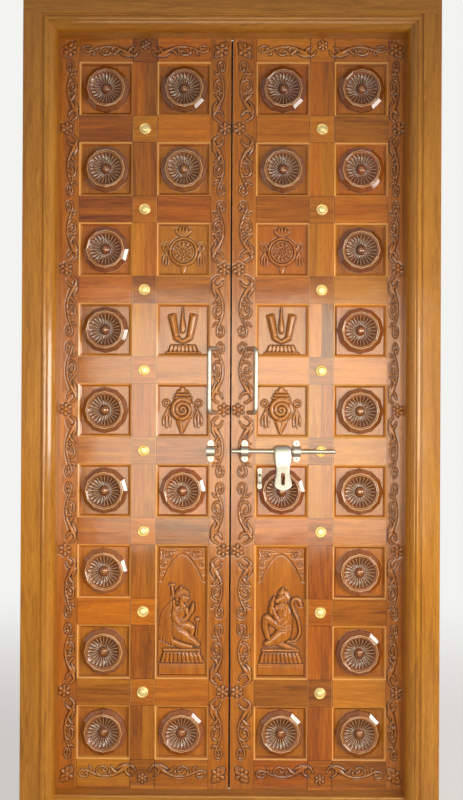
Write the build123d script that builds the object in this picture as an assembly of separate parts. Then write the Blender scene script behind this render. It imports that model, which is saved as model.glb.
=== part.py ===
"""Carved two-leaf temple door in its frame, built joint by joint.

+Z is up, the carved front faces -Y and both leaves swing back towards +Y.
The origin is the middle of the sill's underside. All sizes are millimetres.
"""
from build123d import *
import os
from math import cos, hypot, pi, radians, sin

# The frame
FRAME_W = 1219.0
FRAME_H = 2438.0
FRAME_D = 120.0
FACE_W = 94.0
REBATE_W = 15.0
LIP_D = 75.0
MOULD_W = 20.0
MOULD_D = 32.0
MOULD_OGEE = (0.68, 0.36)
FILLET_W = 3.0
BEAD_W = 14.0
QUIRK_W = 5.0
QUIRK_D = 4.0
SILL_ROUND = 6.0
FRAME_TENON_W = 34.0
FRAME_TENON_T = 40.0
FRAME_TENON_L = 30.0
FRAME_TENON_INSET = 12.0
SILL_TENON_H = 34.0
HOLDFAST_HOLE_R = 3.0
HOLDFAST_HOLE_DEPTH = 30.0
HOLDFAST_SPACING = 60.0
HOLDFAST_END = 300.0

# The leaves
SIDE_GAP = 3.0
END_GAP = 3.0
FRONT_GAP = 1.0
MEETING_GAP = 5.0
MUNTIN_W = 73.5
CROSS_RAIL_H = 79.5
BOTTOM_RAIL_H = 99.0
TOP_RAIL_H = 81.0
HINGE_STILE_W = {"left": 69.0, "right": 59.0}
MEETING_STILE_W = {"left": 60.5, "right": 70.5}
ROWS = 9
SHORT_RAIL = 2
BEVEL_W = 10.0
BEVEL_D = 8.0
RECESS = 11.0
PANEL_T = 18.0
TONGUE = 8.0
GROOVE_CLEAR = 0.5
TENON_L = 40.0
TENON_T = 14.0
TENON_SHOULDER = 10.0
STUB_L = 12.0
JOINT_CLEAR = 0.3
SCORE_W = 1.6
SCORE_D = 1.2
NEAR = 1.0

# The carved rosettes, with radii as shares of the base
ROSETTE_SIDES = 12
ROSETTE_MARGIN = 0.5
ROSETTE_PROUD = 10.0
RING_SHARE = 0.8
DISH_SHARE = 0.63
DISH_D = 8.0
FLUTES = 24
FLUTE_IN_SHARE = 0.5
FLUTE_D = 6.0
KNOB_SHARE = 0.19
KNOB_TIP_SHARE = 0.08
KNOB_SIDES = 8
KNOB_H = 12.0

# Emblems and figures, drawn for a carving of this half width
DRAWN_R = 70.0
DRAWN_REACH = 69.0
TIP = 0.8
STEP_H = 1.0
EMBLEM_H = 9.0
TRIM_H = 6.0
COIL_H = 15.0
ARCH_H = 8.0
LOTUS_H = 12.0
PLINTH_H = 38.0
PEDESTAL_H = 42.0
HEAD_SIDES = 10
HEAD_TAPER = 3.0
SEAT_SHARE = 0.9
SEAT_WAIST_SHARE = 0.84

# Brass studs
STUD_R = 17.0
STUD_RIM_H = 3.5
STUD_RIM_W = 4.0
STUD_H = 7.5
STUD_EDGE_SHARE = 0.5
STUD_DOME = (0.5, 0.85)

# Pull handles
HANDLE_D = 13.5
HANDLE_CENTRES = 190.0
HANDLE_OFFSET = 20.0
HANDLE_PROUD = 42.0
HANDLE_BEND_R = 15.0
HANDLE_INSET = 19.0
HANDLE_DROP = 31.0

# The sliding bolt
ROD_R = 6.0
ROD_STANDOFF = 18.6
ROD_NECK_R = 5.2
ROD_TIP_X = 4.0
ROD_L = 308.0
ROD_CHAMFER = 1.0
OVERCUT = 1.0
SLIDE_CLEAR = 0.1
BOLT_RAIL = 4
GUIDE_XS = (42.5, 197.5)
KEEPER_X = -59.0
GUIDE_W = 22.0
GUIDE_R = 15.5
GUIDE_EAR_R = 9.5
GUIDE_EAR_T = 4.0
GUIDE_HALF_H = 32.0
GUIDE_FOOT_H = 26.0
GUIDE_STRAP_SHARE = 0.8
KEEPER_W = 24.0
KEEPER_CLEAR = 1.0
STAPLE_X = 87.5
HASP_TRAVEL = 68.0
HASP_HUB_W = 50.0
HASP_HUB_R = 18.0
HASP_T = 5.0
HASP_TOP_W = 50.0
HASP_NECK_W = 43.0
HASP_WAIST_W = 39.0
HASP_FLARE_W = 42.0
HASP_END_W = 52.0
HASP_NECK_DROP = 31.0
HASP_WAIST_DROP = 50.0
HASP_FLARE_DROP = 75.0
HASP_CORNER_DROP = 97.0
HASP_END_DROP = 113.0
HASP_SLOT_DROP = 82.0
HASP_SLOT_W = 12.0
HASP_SLOT_H = 36.0
HASP_TILT = 15.0
STAPLE_PLATE_W = 13.0
STAPLE_PLATE_T = 3.0
STAPLE_HALF_H = 31.0
STAPLE_BAR_R = 3.5
STAPLE_EYE_H = 17.0
STAPLE_PROUD = 36.0
STAPLE_STRAP_SHARE = 0.8
STAPLE_BEND_SHARE = 0.7
PACKING_INSET = 1.0

# Butt hinges on the back
HINGES = 4
HINGE_H = 100.0
HINGE_PLATE_W = 34.0
HINGE_PLATE_T = 2.5
HINGE_KNUCKLE_R = 5.5
HINGE_PIN_R = 3.0
HINGE_PIN_CLEAR = 0.08
HINGE_PIN_HEAD_R = 4.5
HINGE_PIN_HEAD_H = 3.0
HINGE_AXIS_OUT = 6.0
HINGE_KNUCKLES = 5
HINGE_KNUCKLE_GAP = 0.4
HINGE_KNUCKLE_ROOT = 1.0
HINGE_END = 230.0

# Places worked out from the sizes above
BACK_Y = FRAME_D / 2
FRONT_Y = -FRAME_D / 2
LEAF_Y = FRONT_Y + LIP_D + FRONT_GAP
LEAF_T = BACK_Y - LEAF_Y
SIGHT_X = FRAME_W / 2 - FACE_W
REBATE_X = SIGHT_X + REBATE_W
EDGE_X = REBATE_X - SIDE_GAP
MOULDING = MOULD_W + FILLET_W + BEAD_W + QUIRK_W
SILL_H = FACE_W
SILL_Y = FRONT_Y + MOULD_D
HEAD_Z = FRAME_H - FACE_W
SHOULDER_Z = HEAD_Z + MOULDING
LEAF_W = EDGE_X - MEETING_GAP / 2
LEAF_Z0 = SILL_H - REBATE_W + END_GAP
LEAF_Z1 = HEAD_Z + REBATE_W - END_GAP
OPENING_W = (LEAF_W - HINGE_STILE_W["left"] - MUNTIN_W - MEETING_STILE_W["left"]) / 2
FIRST_Z = LEAF_Z0 + BOTTOM_RAIL_H
LAST_Z = LEAF_Z1 - TOP_RAIL_H
OPENING_H = (LAST_Z - FIRST_Z - CROSS_RAIL_H * (ROWS - 1)) / ROWS
ROW_PITCH = OPENING_H + CROSS_RAIL_H
GROUND_Y = LEAF_Y + RECESS
TENON_Y = LEAF_Y + LEAF_T / 2
ROSETTE_R = min(OPENING_W, OPENING_H) / 2 - BEVEL_W - ROSETTE_MARGIN
ROD_Y = LEAF_Y - ROD_STANDOFF
HINGE_Y = BACK_Y + HINGE_AXIS_OUT
HINGE_X = REBATE_X - SIDE_GAP / 2
SIDES = ("left", "right")


def row_z(row):
    """Underside of the opening in a row, counted from 0 at the bottom."""
    return FIRST_Z + ROW_PITCH * row


def rail_z(rail):
    """Middle of a cross rail, counted from 1 at the bottom."""
    return row_z(rail) - CROSS_RAIL_H / 2


BOLT_Z = rail_z(BOLT_RAIL)
HANDLE_Z = rail_z(BOLT_RAIL + 1) - HANDLE_DROP


def slab(outline, y0, y1):
    """Extrude an outline drawn in X and Z from depth y0 back to depth y1."""
    return extrude(Plane.XZ.offset(-y1) * outline, amount=y1 - y0, dir=(0, -1, 0))


def rect(x0, z0, x1, z1):
    return Pos((x0 + x1) / 2, (z0 + z1) / 2) * Rectangle(x1 - x0, z1 - z0)


def block(x0, y0, z0, x1, y1, z1):
    return Pos((x0 + x1) / 2, (y0 + y1) / 2, (z0 + z1) / 2) * Box(x1 - x0, y1 - y0, z1 - z0)


def rod_along(axis, radius, length, at):
    """Cylinder centred on a point, along X, Y or Z."""
    turn = {"x": Rot(0, 90, 0), "y": Rot(90, 0, 0), "z": Rot(0, 0, 0)}[axis]
    return Pos(*at) * turn * Cylinder(radius, length)


def group(solids):
    """Separate solids kept side by side in one node."""
    return Compound(children=[s for piece in solids for s in piece.solids()])


def on_side(shape, side):
    """Everything is drawn for the left leaf and mirrored for the right."""
    return shape if side == "left" else mirror(shape, about=Plane.YZ)


# Frame


def frame_section():
    """Section of every frame member: width from the outside in, then depth from the front."""
    flat = FACE_W - MOULDING
    bead0 = flat + QUIRK_W
    bead1 = bead0 + BEAD_W
    ogee = bead1 + FILLET_W
    edges = [
        Line((0, 0), (flat, 0)),
        Line((flat, 0), (flat, QUIRK_D)),
        Line((flat, QUIRK_D), (bead0, QUIRK_D)),
        ThreePointArc((bead0, QUIRK_D), (bead0 + BEAD_W / 2, 0), (bead1, QUIRK_D)),
        Line((bead1, QUIRK_D), (ogee, QUIRK_D)),
        ThreePointArc(
            (ogee, QUIRK_D),
            (ogee + MOULD_W * MOULD_OGEE[0], QUIRK_D + (MOULD_D - QUIRK_D) * MOULD_OGEE[1]),
            (FACE_W, MOULD_D),
        ),
        Line((FACE_W, MOULD_D), (FACE_W, LIP_D)),
        Line((FACE_W, LIP_D), (FACE_W - REBATE_W, LIP_D)),
        Line((FACE_W - REBATE_W, LIP_D), (FACE_W - REBATE_W, FRAME_D)),
        Line((FACE_W - REBATE_W, FRAME_D), (0, FRAME_D)),
        Line((0, FRAME_D), (0, 0)),
    ]
    return make_face(edges)


def head_tenon(clear=0.0):
    """Stub tenon on top of the left jamb, or its mortise when clear is above 0."""
    x0 = -FRAME_W / 2 + FRAME_TENON_INSET
    half = FRAME_TENON_T / 2 + clear
    return block(
        x0 - clear,
        -half,
        SHOULDER_Z,
        x0 + FRAME_TENON_W + clear,
        half,
        SHOULDER_Z + FRAME_TENON_L + clear,
    )


def sill_tenon(clear=0.0):
    """Stub tenon on the sill's left end, or its mortise in the jamb when clear is above 0."""
    half = FRAME_TENON_T / 2 + clear
    z0 = (SILL_H - REBATE_W - SILL_TENON_H) / 2
    return block(
        -SIGHT_X - FRAME_TENON_L - clear,
        -half,
        z0 - clear,
        -SIGHT_X,
        half,
        z0 + SILL_TENON_H + clear,
    )


def holdfast_zs():
    middle = FRAME_H / 2
    return (HOLDFAST_END, middle, FRAME_H - HOLDFAST_END)


def holdfast_holes():
    """Screw holes in the jamb's outer side, in pairs, for the straps built into the wall."""
    x = -FRAME_W / 2 + HOLDFAST_HOLE_DEPTH / 2
    return [
        rod_along("x", HOLDFAST_HOLE_R, HOLDFAST_HOLE_DEPTH, (x, 0, z + step * HOLDFAST_SPACING / 2))
        for z in holdfast_zs()
        for step in (-1, 1)
    ]


def left_jamb():
    """Jamb from the floor to the head, mitred at the top of its moulding."""
    plane = Plane(origin=(-FRAME_W / 2, FRONT_Y, 0), x_dir=(1, 0, 0), z_dir=(0, 0, 1))
    jamb = extrude(plane * frame_section(), amount=SHOULDER_Z)
    mitre = Polygon(
        (-SIGHT_X, HEAD_Z), (-SIGHT_X - MOULDING, SHOULDER_Z), (-SIGHT_X, SHOULDER_Z), align=None
    )
    jamb = jamb - slab(mitre, FRONT_Y, BACK_Y) + head_tenon()
    return jamb - holdfast_holes() - sill_tenon(JOINT_CLEAR)


def head():
    """Head over both jambs, its moulding mitred into theirs."""
    plane = Plane(origin=(-FRAME_W / 2, FRONT_Y, FRAME_H), x_dir=(0, 0, -1), z_dir=(1, 0, 0))
    bar = extrude(plane * frame_section(), amount=FRAME_W)
    seat = Polygon(
        (-SIGHT_X, HEAD_Z),
        (-SIGHT_X - MOULDING, SHOULDER_Z),
        (-FRAME_W / 2, SHOULDER_Z),
        (-FRAME_W / 2, HEAD_Z),
        align=None,
    )
    cut = [slab(seat, FRONT_Y, BACK_Y), head_tenon(JOINT_CLEAR)]
    return bar - cut - [mirror(c, about=Plane.YZ) for c in cut]


def sill():
    """Sill between the jambs, set back to the inner edge of their moulding and rebated behind."""
    bar = block(-SIGHT_X, SILL_Y, 0, SIGHT_X, FRONT_Y + LIP_D, SILL_H)
    bar = fillet(bar.edges().filter_by(Axis.X).group_by(Axis.Z)[-1].sort_by(Axis.Y)[0], SILL_ROUND)
    step = block(-REBATE_X, FRONT_Y + LIP_D, 0, REBATE_X, BACK_Y, SILL_H - REBATE_W)
    tenon_left = sill_tenon()
    return bar + step + tenon_left + mirror(tenon_left, about=Plane.YZ)


# Leaf layout, drawn for the left leaf with its hinge edge at -EDGE_X


def columns(side):
    """Left edges of the outer and inner columns of openings, drawn as on the left leaf."""
    outer = -EDGE_X + HINGE_STILE_W[side]
    return outer, outer + OPENING_W + MUNTIN_W


def openings(side):
    """Every opening as (x0, z0, x1, z1), keyed by column and row."""
    outer, inner = columns(side)
    found = {}
    for row in range(ROWS):
        z = row_z(row)
        found["outer", row] = (outer, z, outer + OPENING_W, z + OPENING_H)
        if row == SHORT_RAIL - 1:
            found["inner", row] = (inner, z, inner + OPENING_W, z + ROW_PITCH + OPENING_H)
        elif row != SHORT_RAIL:
            found["inner", row] = (inner, z, inner + OPENING_W, z + OPENING_H)
    return found


def strips(opening):
    """Mitred moulding strips inside an opening, one for each of its sides."""
    x0, z0, x1, z1 = opening
    b = BEVEL_W
    corners = [(x0, z0), (x1, z0), (x1, z1), (x0, z1)]
    inner = [(x0 + b, z0 + b), (x1 - b, z0 + b), (x1 - b, z1 - b), (x0 + b, z1 - b)]
    names = ("below", "right", "above", "left")
    return {
        name: Polygon(corners[i], corners[(i + 1) % 4], inner[(i + 1) % 4], inner[i], align=None)
        for i, name in enumerate(names)
    }


def opening_cut(opening):
    """Bevel round the front of an opening and the groove that holds its panel."""
    x0, z0, x1, z1 = opening
    b = BEVEL_W
    front = Plane.XZ.offset(-LEAF_Y) * rect(x0, z0, x1, z1)
    back = Plane.XZ.offset(-LEAF_Y - BEVEL_D) * rect(x0 + b, z0 + b, x1 - b, z1 - b)
    bevel = loft([front, back], ruled=True)
    g = b - TONGUE - GROOVE_CLEAR
    groove = slab(
        rect(x0 + g, z0 + g, x1 - g, z1 - g), GROUND_Y, GROUND_Y + PANEL_T + GROOVE_CLEAR
    )
    return [bevel, groove]


def tenon(x0, z0, x1, z1, clear=0.0):
    half = TENON_T / 2 + clear
    return block(x0 - clear, TENON_Y - half, z0 - clear, x1 + clear, TENON_Y + half, z1 + clear)


def rail_bands(side):
    """Every rail as name: (x0, z0, x1, z1) between its shoulders."""
    outer, inner = columns(side)
    x1 = inner + OPENING_W
    found = {"bottom_rail": (outer, LEAF_Z0, x1, FIRST_Z), "top_rail": (outer, LAST_Z, x1, LEAF_Z1)}
    for rail in range(1, ROWS):
        z = row_z(rail)
        end = inner if rail == SHORT_RAIL else x1
        found[f"cross_rail_{rail}"] = (outer, z - CROSS_RAIL_H, end, z)
    return found


def rail_tenons(side, name, clear=0.0):
    x0, z0, x1, z1 = rail_bands(side)[name]
    low, high = z0 + TENON_SHOULDER, z1 - TENON_SHOULDER
    ends = [tenon(x0 - TENON_L, low, x0, high, clear)]
    if name != f"cross_rail_{SHORT_RAIL}":
        ends.append(tenon(x1, low, x1 + TENON_L, high, clear))
    return ends


def muntin_stubs(side, row, clear=0.0):
    inner = columns(side)[1]
    x0, x1 = inner - MUNTIN_W + TENON_SHOULDER, inner - TENON_SHOULDER
    z0 = row_z(row)
    z1 = z0 + OPENING_H
    return [tenon(x0, z0 - STUB_L, x1, z0, clear), tenon(x0, z1, x1, z1 + STUB_L, clear)]


def stile(side, name):
    """Full-height upright, grooved and bevelled along its openings and mortised for the rails."""
    outer, inner = columns(side)
    column = "outer" if name == "hinge_stile" else "inner"
    x0, x1 = (-EDGE_X, outer) if column == "outer" else (inner + OPENING_W, -MEETING_GAP / 2)
    mine = [box for key, box in openings(side).items() if key[0] == column]
    edge = "left" if column == "outer" else "right"
    plan = rect(x0, LEAF_Z0, x1, LEAF_Z1) + [strips(box)[edge] for box in mine]
    cuts = [cut for box in mine for cut in opening_cut(box)]
    end = 0 if column == "outer" else 1
    for rail in rail_bands(side):
        pair = rail_tenons(side, rail, JOINT_CLEAR)
        if end < len(pair):
            cuts.append(pair[end])
    return slab(plan, LEAF_Y, BACK_Y) - cuts


def rail(side, name):
    """Rail with its moulded edges, end tenons, and mortises for the muntins above and below."""
    band = rail_bands(side)[name]
    x0, z0, x1, z1 = band
    plan = rect(*band)
    cuts = []
    beside = strips(openings(side)["inner", SHORT_RAIL - 1])["left"]
    for box in openings(side).values():
        touches = box[0] < x1 and (box[3] == z0 or box[1] == z1)
        if touches and abs(box[3] - z0) < NEAR:
            plan += strips(box)["above"]
        if touches and abs(box[1] - z1) < NEAR:
            plan += strips(box)["below"]
        if touches:
            cuts += opening_cut(box)
    if name == f"cross_rail_{SHORT_RAIL}":
        plan += beside & rect(x1, z0, x1 + BEVEL_W, z1)
        cuts += opening_cut(openings(side)["inner", SHORT_RAIL - 1])
    for row in range(ROWS):
        low, high = muntin_stubs(side, row, JOINT_CLEAR)
        if abs(row_z(row) - z1) < NEAR:
            cuts.append(low)
        if abs(row_z(row) + OPENING_H - z0) < NEAR:
            cuts.append(high)
    if name.startswith("cross_rail"):
        inner = columns(side)[1]
        for x in (inner - MUNTIN_W, inner - SCORE_W):
            cuts.append(block(x, LEAF_Y, z0, x + SCORE_W, LEAF_Y + SCORE_D, z1))
    return slab(plan, LEAF_Y, BACK_Y) + rail_tenons(side, name) - cuts


def muntin(side, row):
    """Short upright between two rails, beside one opening on each hand."""
    inner = columns(side)[1]
    z0 = row_z(row)
    band = (inner - MUNTIN_W, z0, inner, z0 + OPENING_H)
    tall = row in (SHORT_RAIL - 1, SHORT_RAIL)
    right = openings(side)["inner", SHORT_RAIL - 1 if tall else row]
    left = openings(side)["outer", row]
    reach = rect(inner, z0, inner + BEVEL_W, z0 + OPENING_H)
    plan = rect(*band) + strips(left)["right"] + (strips(right)["left"] & reach)
    cuts = opening_cut(left) + opening_cut(right)
    return slab(plan, LEAF_Y, BACK_Y) + muntin_stubs(side, row) - cuts


def board(box):
    """Panel board whose edges sit in the grooves round an opening."""
    x0, z0, x1, z1 = box
    e = BEVEL_W - TONGUE
    return slab(rect(x0 + e, z0 + e, x1 - e, z1 - e), GROUND_Y, GROUND_Y + PANEL_T)


def middle(box):
    return (box[0] + box[2]) / 2, (box[1] + box[3]) / 2


def on_panel(shape, x, z, y=GROUND_Y):
    """Place a piece drawn flat, with its height along local Z, on the front of the leaf."""
    return Plane(origin=(x, y, z), x_dir=(1, 0, 0), z_dir=(0, -1, 0)) * shape


# Rosettes and emblems


def ring_points(radii, z, count):
    """Corners round the origin at one height, taking the radii in turn."""
    return [
        (
            radii[i % len(radii)] * cos(2 * pi * i / count),
            radii[i % len(radii)] * sin(2 * pi * i / count),
            z,
        )
        for i in range(count)
    ]


def prism(low, high):
    """Flat-sided solid between two outlines of as many corners, one above the other."""
    turn = len(low)
    sides = [
        Face(Wire.make_polygon([low[i], low[(i + 1) % turn], high[(i + 1) % turn], high[i]]))
        for i in range(turn)
    ]
    ends = [Face(Wire.make_polygon(low)), Face(Wire.make_polygon(high))]
    return Solid(Shell(sides + ends))


def frustum(r0, z0, r1, z1, sides=ROSETTE_SIDES):
    return prism(ring_points([r0], z0, sides), ring_points([r1], z1, sides))


def rosette():
    """Twelve-sided boss with a fluted dish and a domed knob, drawn with its base at Z 0."""
    top = RECESS + ROSETTE_PROUD
    dish = top - DISH_D
    floor = dish - FLUTE_D
    ring_r = ROSETTE_R * RING_SHARE
    dish_r = ROSETTE_R * DISH_SHARE
    knob_r = ROSETTE_R * KNOB_SHARE
    valley_r = ROSETTE_R * FLUTE_IN_SHARE
    shrink = (knob_r + GROOVE_CLEAR) / valley_r
    body = frustum(ROSETTE_R, 0, ring_r, top)
    bowl = frustum(dish_r, dish, ring_r, top)
    flutes = prism(
        ring_points([dish_r * shrink, valley_r * shrink], floor, FLUTES * 2),
        ring_points([dish_r, valley_r], dish, FLUTES * 2),
    )
    shoulder = floor + KNOB_H / 2
    knob = frustum(knob_r, floor, knob_r, shoulder, KNOB_SIDES) + frustum(
        knob_r, shoulder, ROSETTE_R * KNOB_TIP_SHARE, floor + KNOB_H, KNOB_SIDES
    )
    return body - bowl - flutes + knob


def raised(outline, height):
    return extrude(outline, amount=height, dir=(0, 0, 1))


def limb(*stations):
    """Flat ribbon through (x, z, half width) stations, as a leaf, a flame or an arm is cut."""
    left, right = [], []
    for i, (x, z, half) in enumerate(stations):
        x0, z0, _ = stations[max(i - 1, 0)]
        x1, z1, _ = stations[min(i + 1, len(stations) - 1)]
        length = hypot(x1 - x0, z1 - z0)
        across = (-(z1 - z0) / length * half, (x1 - x0) / length * half)
        left.append((x + across[0], z + across[1]))
        right.append((x - across[0], z - across[1]))
    return Polygon(*left, *reversed(right), align=None)


def both(outline):
    """An outline and its mirror image about the carving's upright."""
    return Sketch() + outline + mirror(outline, about=Plane.YZ)


def side_ribbon(x, loop_z, foot_z):
    """Ribbon loop with a hanging tassel on either side of an emblem."""
    loop_r, loop_sides = 10, 8
    tassel = limb((x, loop_z - 2, 4), (x + 2, foot_z, 9))
    return both(Pos(x, loop_z) * RegularPolygon(loop_r, loop_sides) + tassel)


def wheel_emblem():
    """Discus wheel with a flame crown, side ribbons and a stem."""
    rim_r, dish_r, dish_d, hub_r, hub_h, sides = 43.5, 37.0, 4.0, 14.0, 12.0, 16
    crown = Sketch()
    for lean in (-26, -13, 0, 13, 26):
        reach = DRAWN_REACH - abs(lean) / 2
        root, waist, top = (lean, rim_r - 8, 5), (lean * 1.15, reach - 12, 5), (lean * 1.2, reach, TIP)
        crown += limb(root, waist, top)
    dish = frustum(dish_r - dish_d, EMBLEM_H - dish_d, dish_r, EMBLEM_H, sides)
    disc = frustum(rim_r, 0, rim_r, EMBLEM_H, sides) - dish
    hub = frustum(hub_r, 0, hub_r / 2, hub_h, KNOB_SIDES)
    stem = limb((0, -rim_r + 4, 6), (0, -DRAWN_REACH, 10))
    trim = raised(side_ribbon(54, 12, -44) + stem, TRIM_H)
    return disc + hub + raised(crown, EMBLEM_H - STEP_H) + trim


def tilak_emblem():
    """Two rising strokes joined below, a tear between them and a lotus foot."""
    stroke = both(limb((-37, 51, 11), (-28, -10, 8), (-12, -28, 8), (1, -31, 6)))
    tear = limb((0, DRAWN_REACH, TIP), (0, 36, 8), (0, 5, 7), (0, -8, TIP))
    foot = limb((0, -DRAWN_REACH, 30), (0, -40, 48))
    raised_tear = raised(tear, EMBLEM_H + STEP_H)
    return raised(stroke, EMBLEM_H) + raised_tear + raised(foot, EMBLEM_H - STEP_H)


def conch_emblem():
    """Conch with its coil, pointed foot, capped crown and side tassels."""
    drop = Pos(0, -3)
    shell_r, shell_top_r, coil_r, coil_top_r = 34.0, 27.0, 20.0, 15.0
    pit_r, pit_top_r, pit_d = 10.0, 13.0, 3.0
    pit_z = COIL_H - pit_d
    shell = frustum(shell_r, 0, shell_top_r, pit_z)
    coil = frustum(coil_r, 0, coil_top_r, COIL_H) - frustum(pit_r, pit_z, pit_top_r, COIL_H)
    tip = raised(limb((0, -16, 30), (-1, -DRAWN_REACH, 1)), EMBLEM_H)
    cap = raised(limb((0, 24, 22), (0, 50, 14)), EMBLEM_H + STEP_H)
    finial = raised(limb((0, 49, 12), (1, 68, 4)), EMBLEM_H - 2 * STEP_H)
    trim = raised(side_ribbon(49, 22, -52), TRIM_H)
    return drop * shell + drop * coil + tip + cap + finial + trim


def head_boss(x, z, radius):
    return Pos(x, z) * frustum(radius, 0, radius - HEAD_TAPER, LOTUS_H, HEAD_SIDES)


def winged_figure():
    """Kneeling winged figure with folded hands, turned to the right."""
    wing = raised(limb((-36, 36, 8), (-52, -6, 13), (-58, -66, 8), (-62, -100, 2)), TRIM_H)
    crown = raised(limb((-30, 78, 1), (-16, 62, 9), (-8, 48, 12)), EMBLEM_H)
    torso = raised(limb((-8, 30, 10), (-14, 8, 18), (-12, -30, 13), (-14, -78, 24)), EMBLEM_H)
    arm = raised(limb((-10, 10, 7), (2, -24, 7), (26, 4, 6), (30, 18, 4)), LOTUS_H)
    thigh = raised(limb((-16, -58, 16), (20, -44, 13), (42, -32, 9)), LOTUS_H)
    shin = raised(limb((40, -34, 8), (34, -72, 8), (30, -96, 8), (50, -104, 5)), EMBLEM_H)
    under = raised(limb((-40, -98, 8), (10, -96, 10)), EMBLEM_H)
    return wing + crown + torso + arm + thigh + shin + under + head_boss(1, 42, 14)


def tailed_figure():
    """Kneeling tailed monkey figure with joined hands, turned to the left."""
    tail = raised(
        limb((16, -84, 5), (46, -72, 5), (56, -44, 5), (40, -8, 5), (34, 22, 5), (52, 36, 6)), TRIM_H
    )
    crown = raised(limb((20, 74, 1), (12, 60, 8), (8, 46, 11)), EMBLEM_H)
    torso = raised(limb((6, 26, 10), (8, 6, 18), (2, -34, 14), (4, -78, 24)), EMBLEM_H)
    arm = raised(limb((6, 10, 7), (-8, -20, 7), (-26, 16, 6), (-28, 40, 4)), LOTUS_H)
    thigh = raised(limb((8, -60, 16), (-24, -46, 12), (-44, -34, 9)), LOTUS_H)
    shin = raised(limb((-42, -34, 8), (-36, -72, 8), (-32, -96, 8), (-50, -104, 5)), EMBLEM_H)
    under = raised(limb((42, -100, 7), (-4, -96, 11)), EMBLEM_H)
    muzzle = raised(limb((0, 40, 8), (-14, 36, 5)), EMBLEM_H)
    return tail + crown + torso + arm + thigh + shin + under + muzzle + head_boss(4, 42, 13)


def tall_panel(box, figure):
    """Tall board with a figure under a cusped arch, on a lotus pedestal and a plinth."""
    x, z = middle(box)
    half_w = (box[2] - box[0]) / 2 - BEVEL_W
    half_h = (box[3] - box[1]) / 2 - BEVEL_W
    arch = [(0, 22), (0.32, 34), (0.54, 58), (0.75, 92), (0.88, 98), (1, 112)]
    edge = [(-half_w * across, half_h - down) for across, down in arch]
    spandrel = raised(both(Polygon(*edge, (-half_w, half_h), (0, half_h), align=None)), ARCH_H)
    low = -half_h
    plinth = raised(rect(-half_w, low, half_w, low + PLINTH_H), EMBLEM_H)
    waist = low + PLINTH_H + PEDESTAL_H / 2
    top = low + PLINTH_H + PEDESTAL_H
    spread = half_w * SEAT_SHARE
    narrow = spread * SEAT_WAIST_SHARE
    lotus = limb((0, low + PLINTH_H, spread), (0, waist, narrow), (0, top, spread))
    carving = spandrel + plinth + raised(lotus, LOTUS_H) + scale(figure, by=carving_scale())
    return board(box) + on_panel(carving, x, z)


def carving_scale():
    """The emblems and figures grow and shrink with the rosettes beside them."""
    across = ROSETTE_R / DRAWN_R
    return (across, across, 1)


EMBLEMS = {
    6: ("wheel_panel", wheel_emblem),
    5: ("tilak_panel", tilak_emblem),
    4: ("conch_panel", conch_emblem),
}
FIGURES = {"left": winged_figure, "right": tailed_figure}


# Hardware


def stud():
    """Round brass stud with a raised rim and a domed middle, its back at Z 0."""
    arc = [
        (0, 0),
        (STUD_R, 0),
        (STUD_R, STUD_RIM_H * STUD_EDGE_SHARE),
        (STUD_R - STUD_RIM_W / 2, STUD_RIM_H),
        (STUD_R - STUD_RIM_W, STUD_RIM_H * STUD_EDGE_SHARE),
        (STUD_R * STUD_DOME[0], STUD_H * STUD_DOME[1]),
        (0, STUD_H),
    ]
    return revolve(make_face(Polyline(*[(r, 0, z) for r, z in arc], close=True)), Axis.Z)


def handle(x, out):
    """Bent bar pull: two raked legs from the stile's face and a straight upright grip."""
    half = HANDLE_CENTRES / 2
    foot = (x, LEAF_Y)
    grip = (x + out * HANDLE_OFFSET, LEAF_Y - HANDLE_PROUD)
    path = FilletPolyline(
        (*foot, HANDLE_Z - half),
        (*grip, HANDLE_Z - half),
        (*grip, HANDLE_Z + half),
        (*foot, HANDLE_Z + half),
        radius=HANDLE_BEND_R,
    )
    lean = Vector(grip[0] - foot[0], grip[1] - foot[1], 0)
    bar = sweep(Plane(origin=path @ 0, z_dir=lean) * Circle(HANDLE_D / 2), path=path)
    roots = [
        Plane(origin=(*foot, HANDLE_Z + s * half), z_dir=lean)
        * Pos(0, 0, -HANDLE_D / 4)
        * Cylinder(HANDLE_D / 2, HANDLE_D / 2)
        for s in (-1, 1)
    ]
    reach = HANDLE_CENTRES
    wood = block(x - reach, LEAF_Y, HANDLE_Z - reach, x + reach, BACK_Y, HANDLE_Z + reach)
    return bar + roots - wood


def guide(x, width, hole_r):
    """Barrel bracket with a screw ear above and below, its back on the leaf's face."""
    outline = Rectangle(width * GUIDE_STRAP_SHARE, GUIDE_HALF_H * 2 - GUIDE_EAR_R * 2)
    ears = [Pos(0, s * (GUIDE_HALF_H - GUIDE_EAR_R)) * Circle(GUIDE_EAR_R) for s in (-1, 1)]
    plate = raised(Sketch() + outline + ears, GUIDE_EAR_T)
    barrel = Pos(0, 0, ROD_STANDOFF) * Rot(0, 90, 0) * Cylinder(GUIDE_R, width)
    foot = Pos(0, 0, ROD_STANDOFF / 2) * Box(width, GUIDE_FOOT_H, ROD_STANDOFF)
    bore = Pos(0, 0, ROD_STANDOFF) * Rot(0, 90, 0) * Cylinder(hole_r, width * 2)
    return on_panel(plate + barrel + foot - bore, x, BOLT_Z, LEAF_Y)


def bolt_rod():
    """Round sliding rod with a necked stretch that carries the hasp."""
    bar = rod_along("x", ROD_R, ROD_L, (ROD_TIP_X + ROD_L / 2, ROD_Y, BOLT_Z))
    bar = chamfer(bar.edges(), ROD_CHAMFER)
    hasp_x = STAPLE_X + HASP_TRAVEL
    length = HASP_HUB_W + 2 * JOINT_CLEAR
    sleeve = rod_along("x", ROD_R + OVERCUT, length, (hasp_x, ROD_Y, BOLT_Z)) - rod_along(
        "x", ROD_NECK_R, length + 2 * OVERCUT, (hasp_x, ROD_Y, BOLT_Z)
    )
    return bar - sleeve


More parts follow.
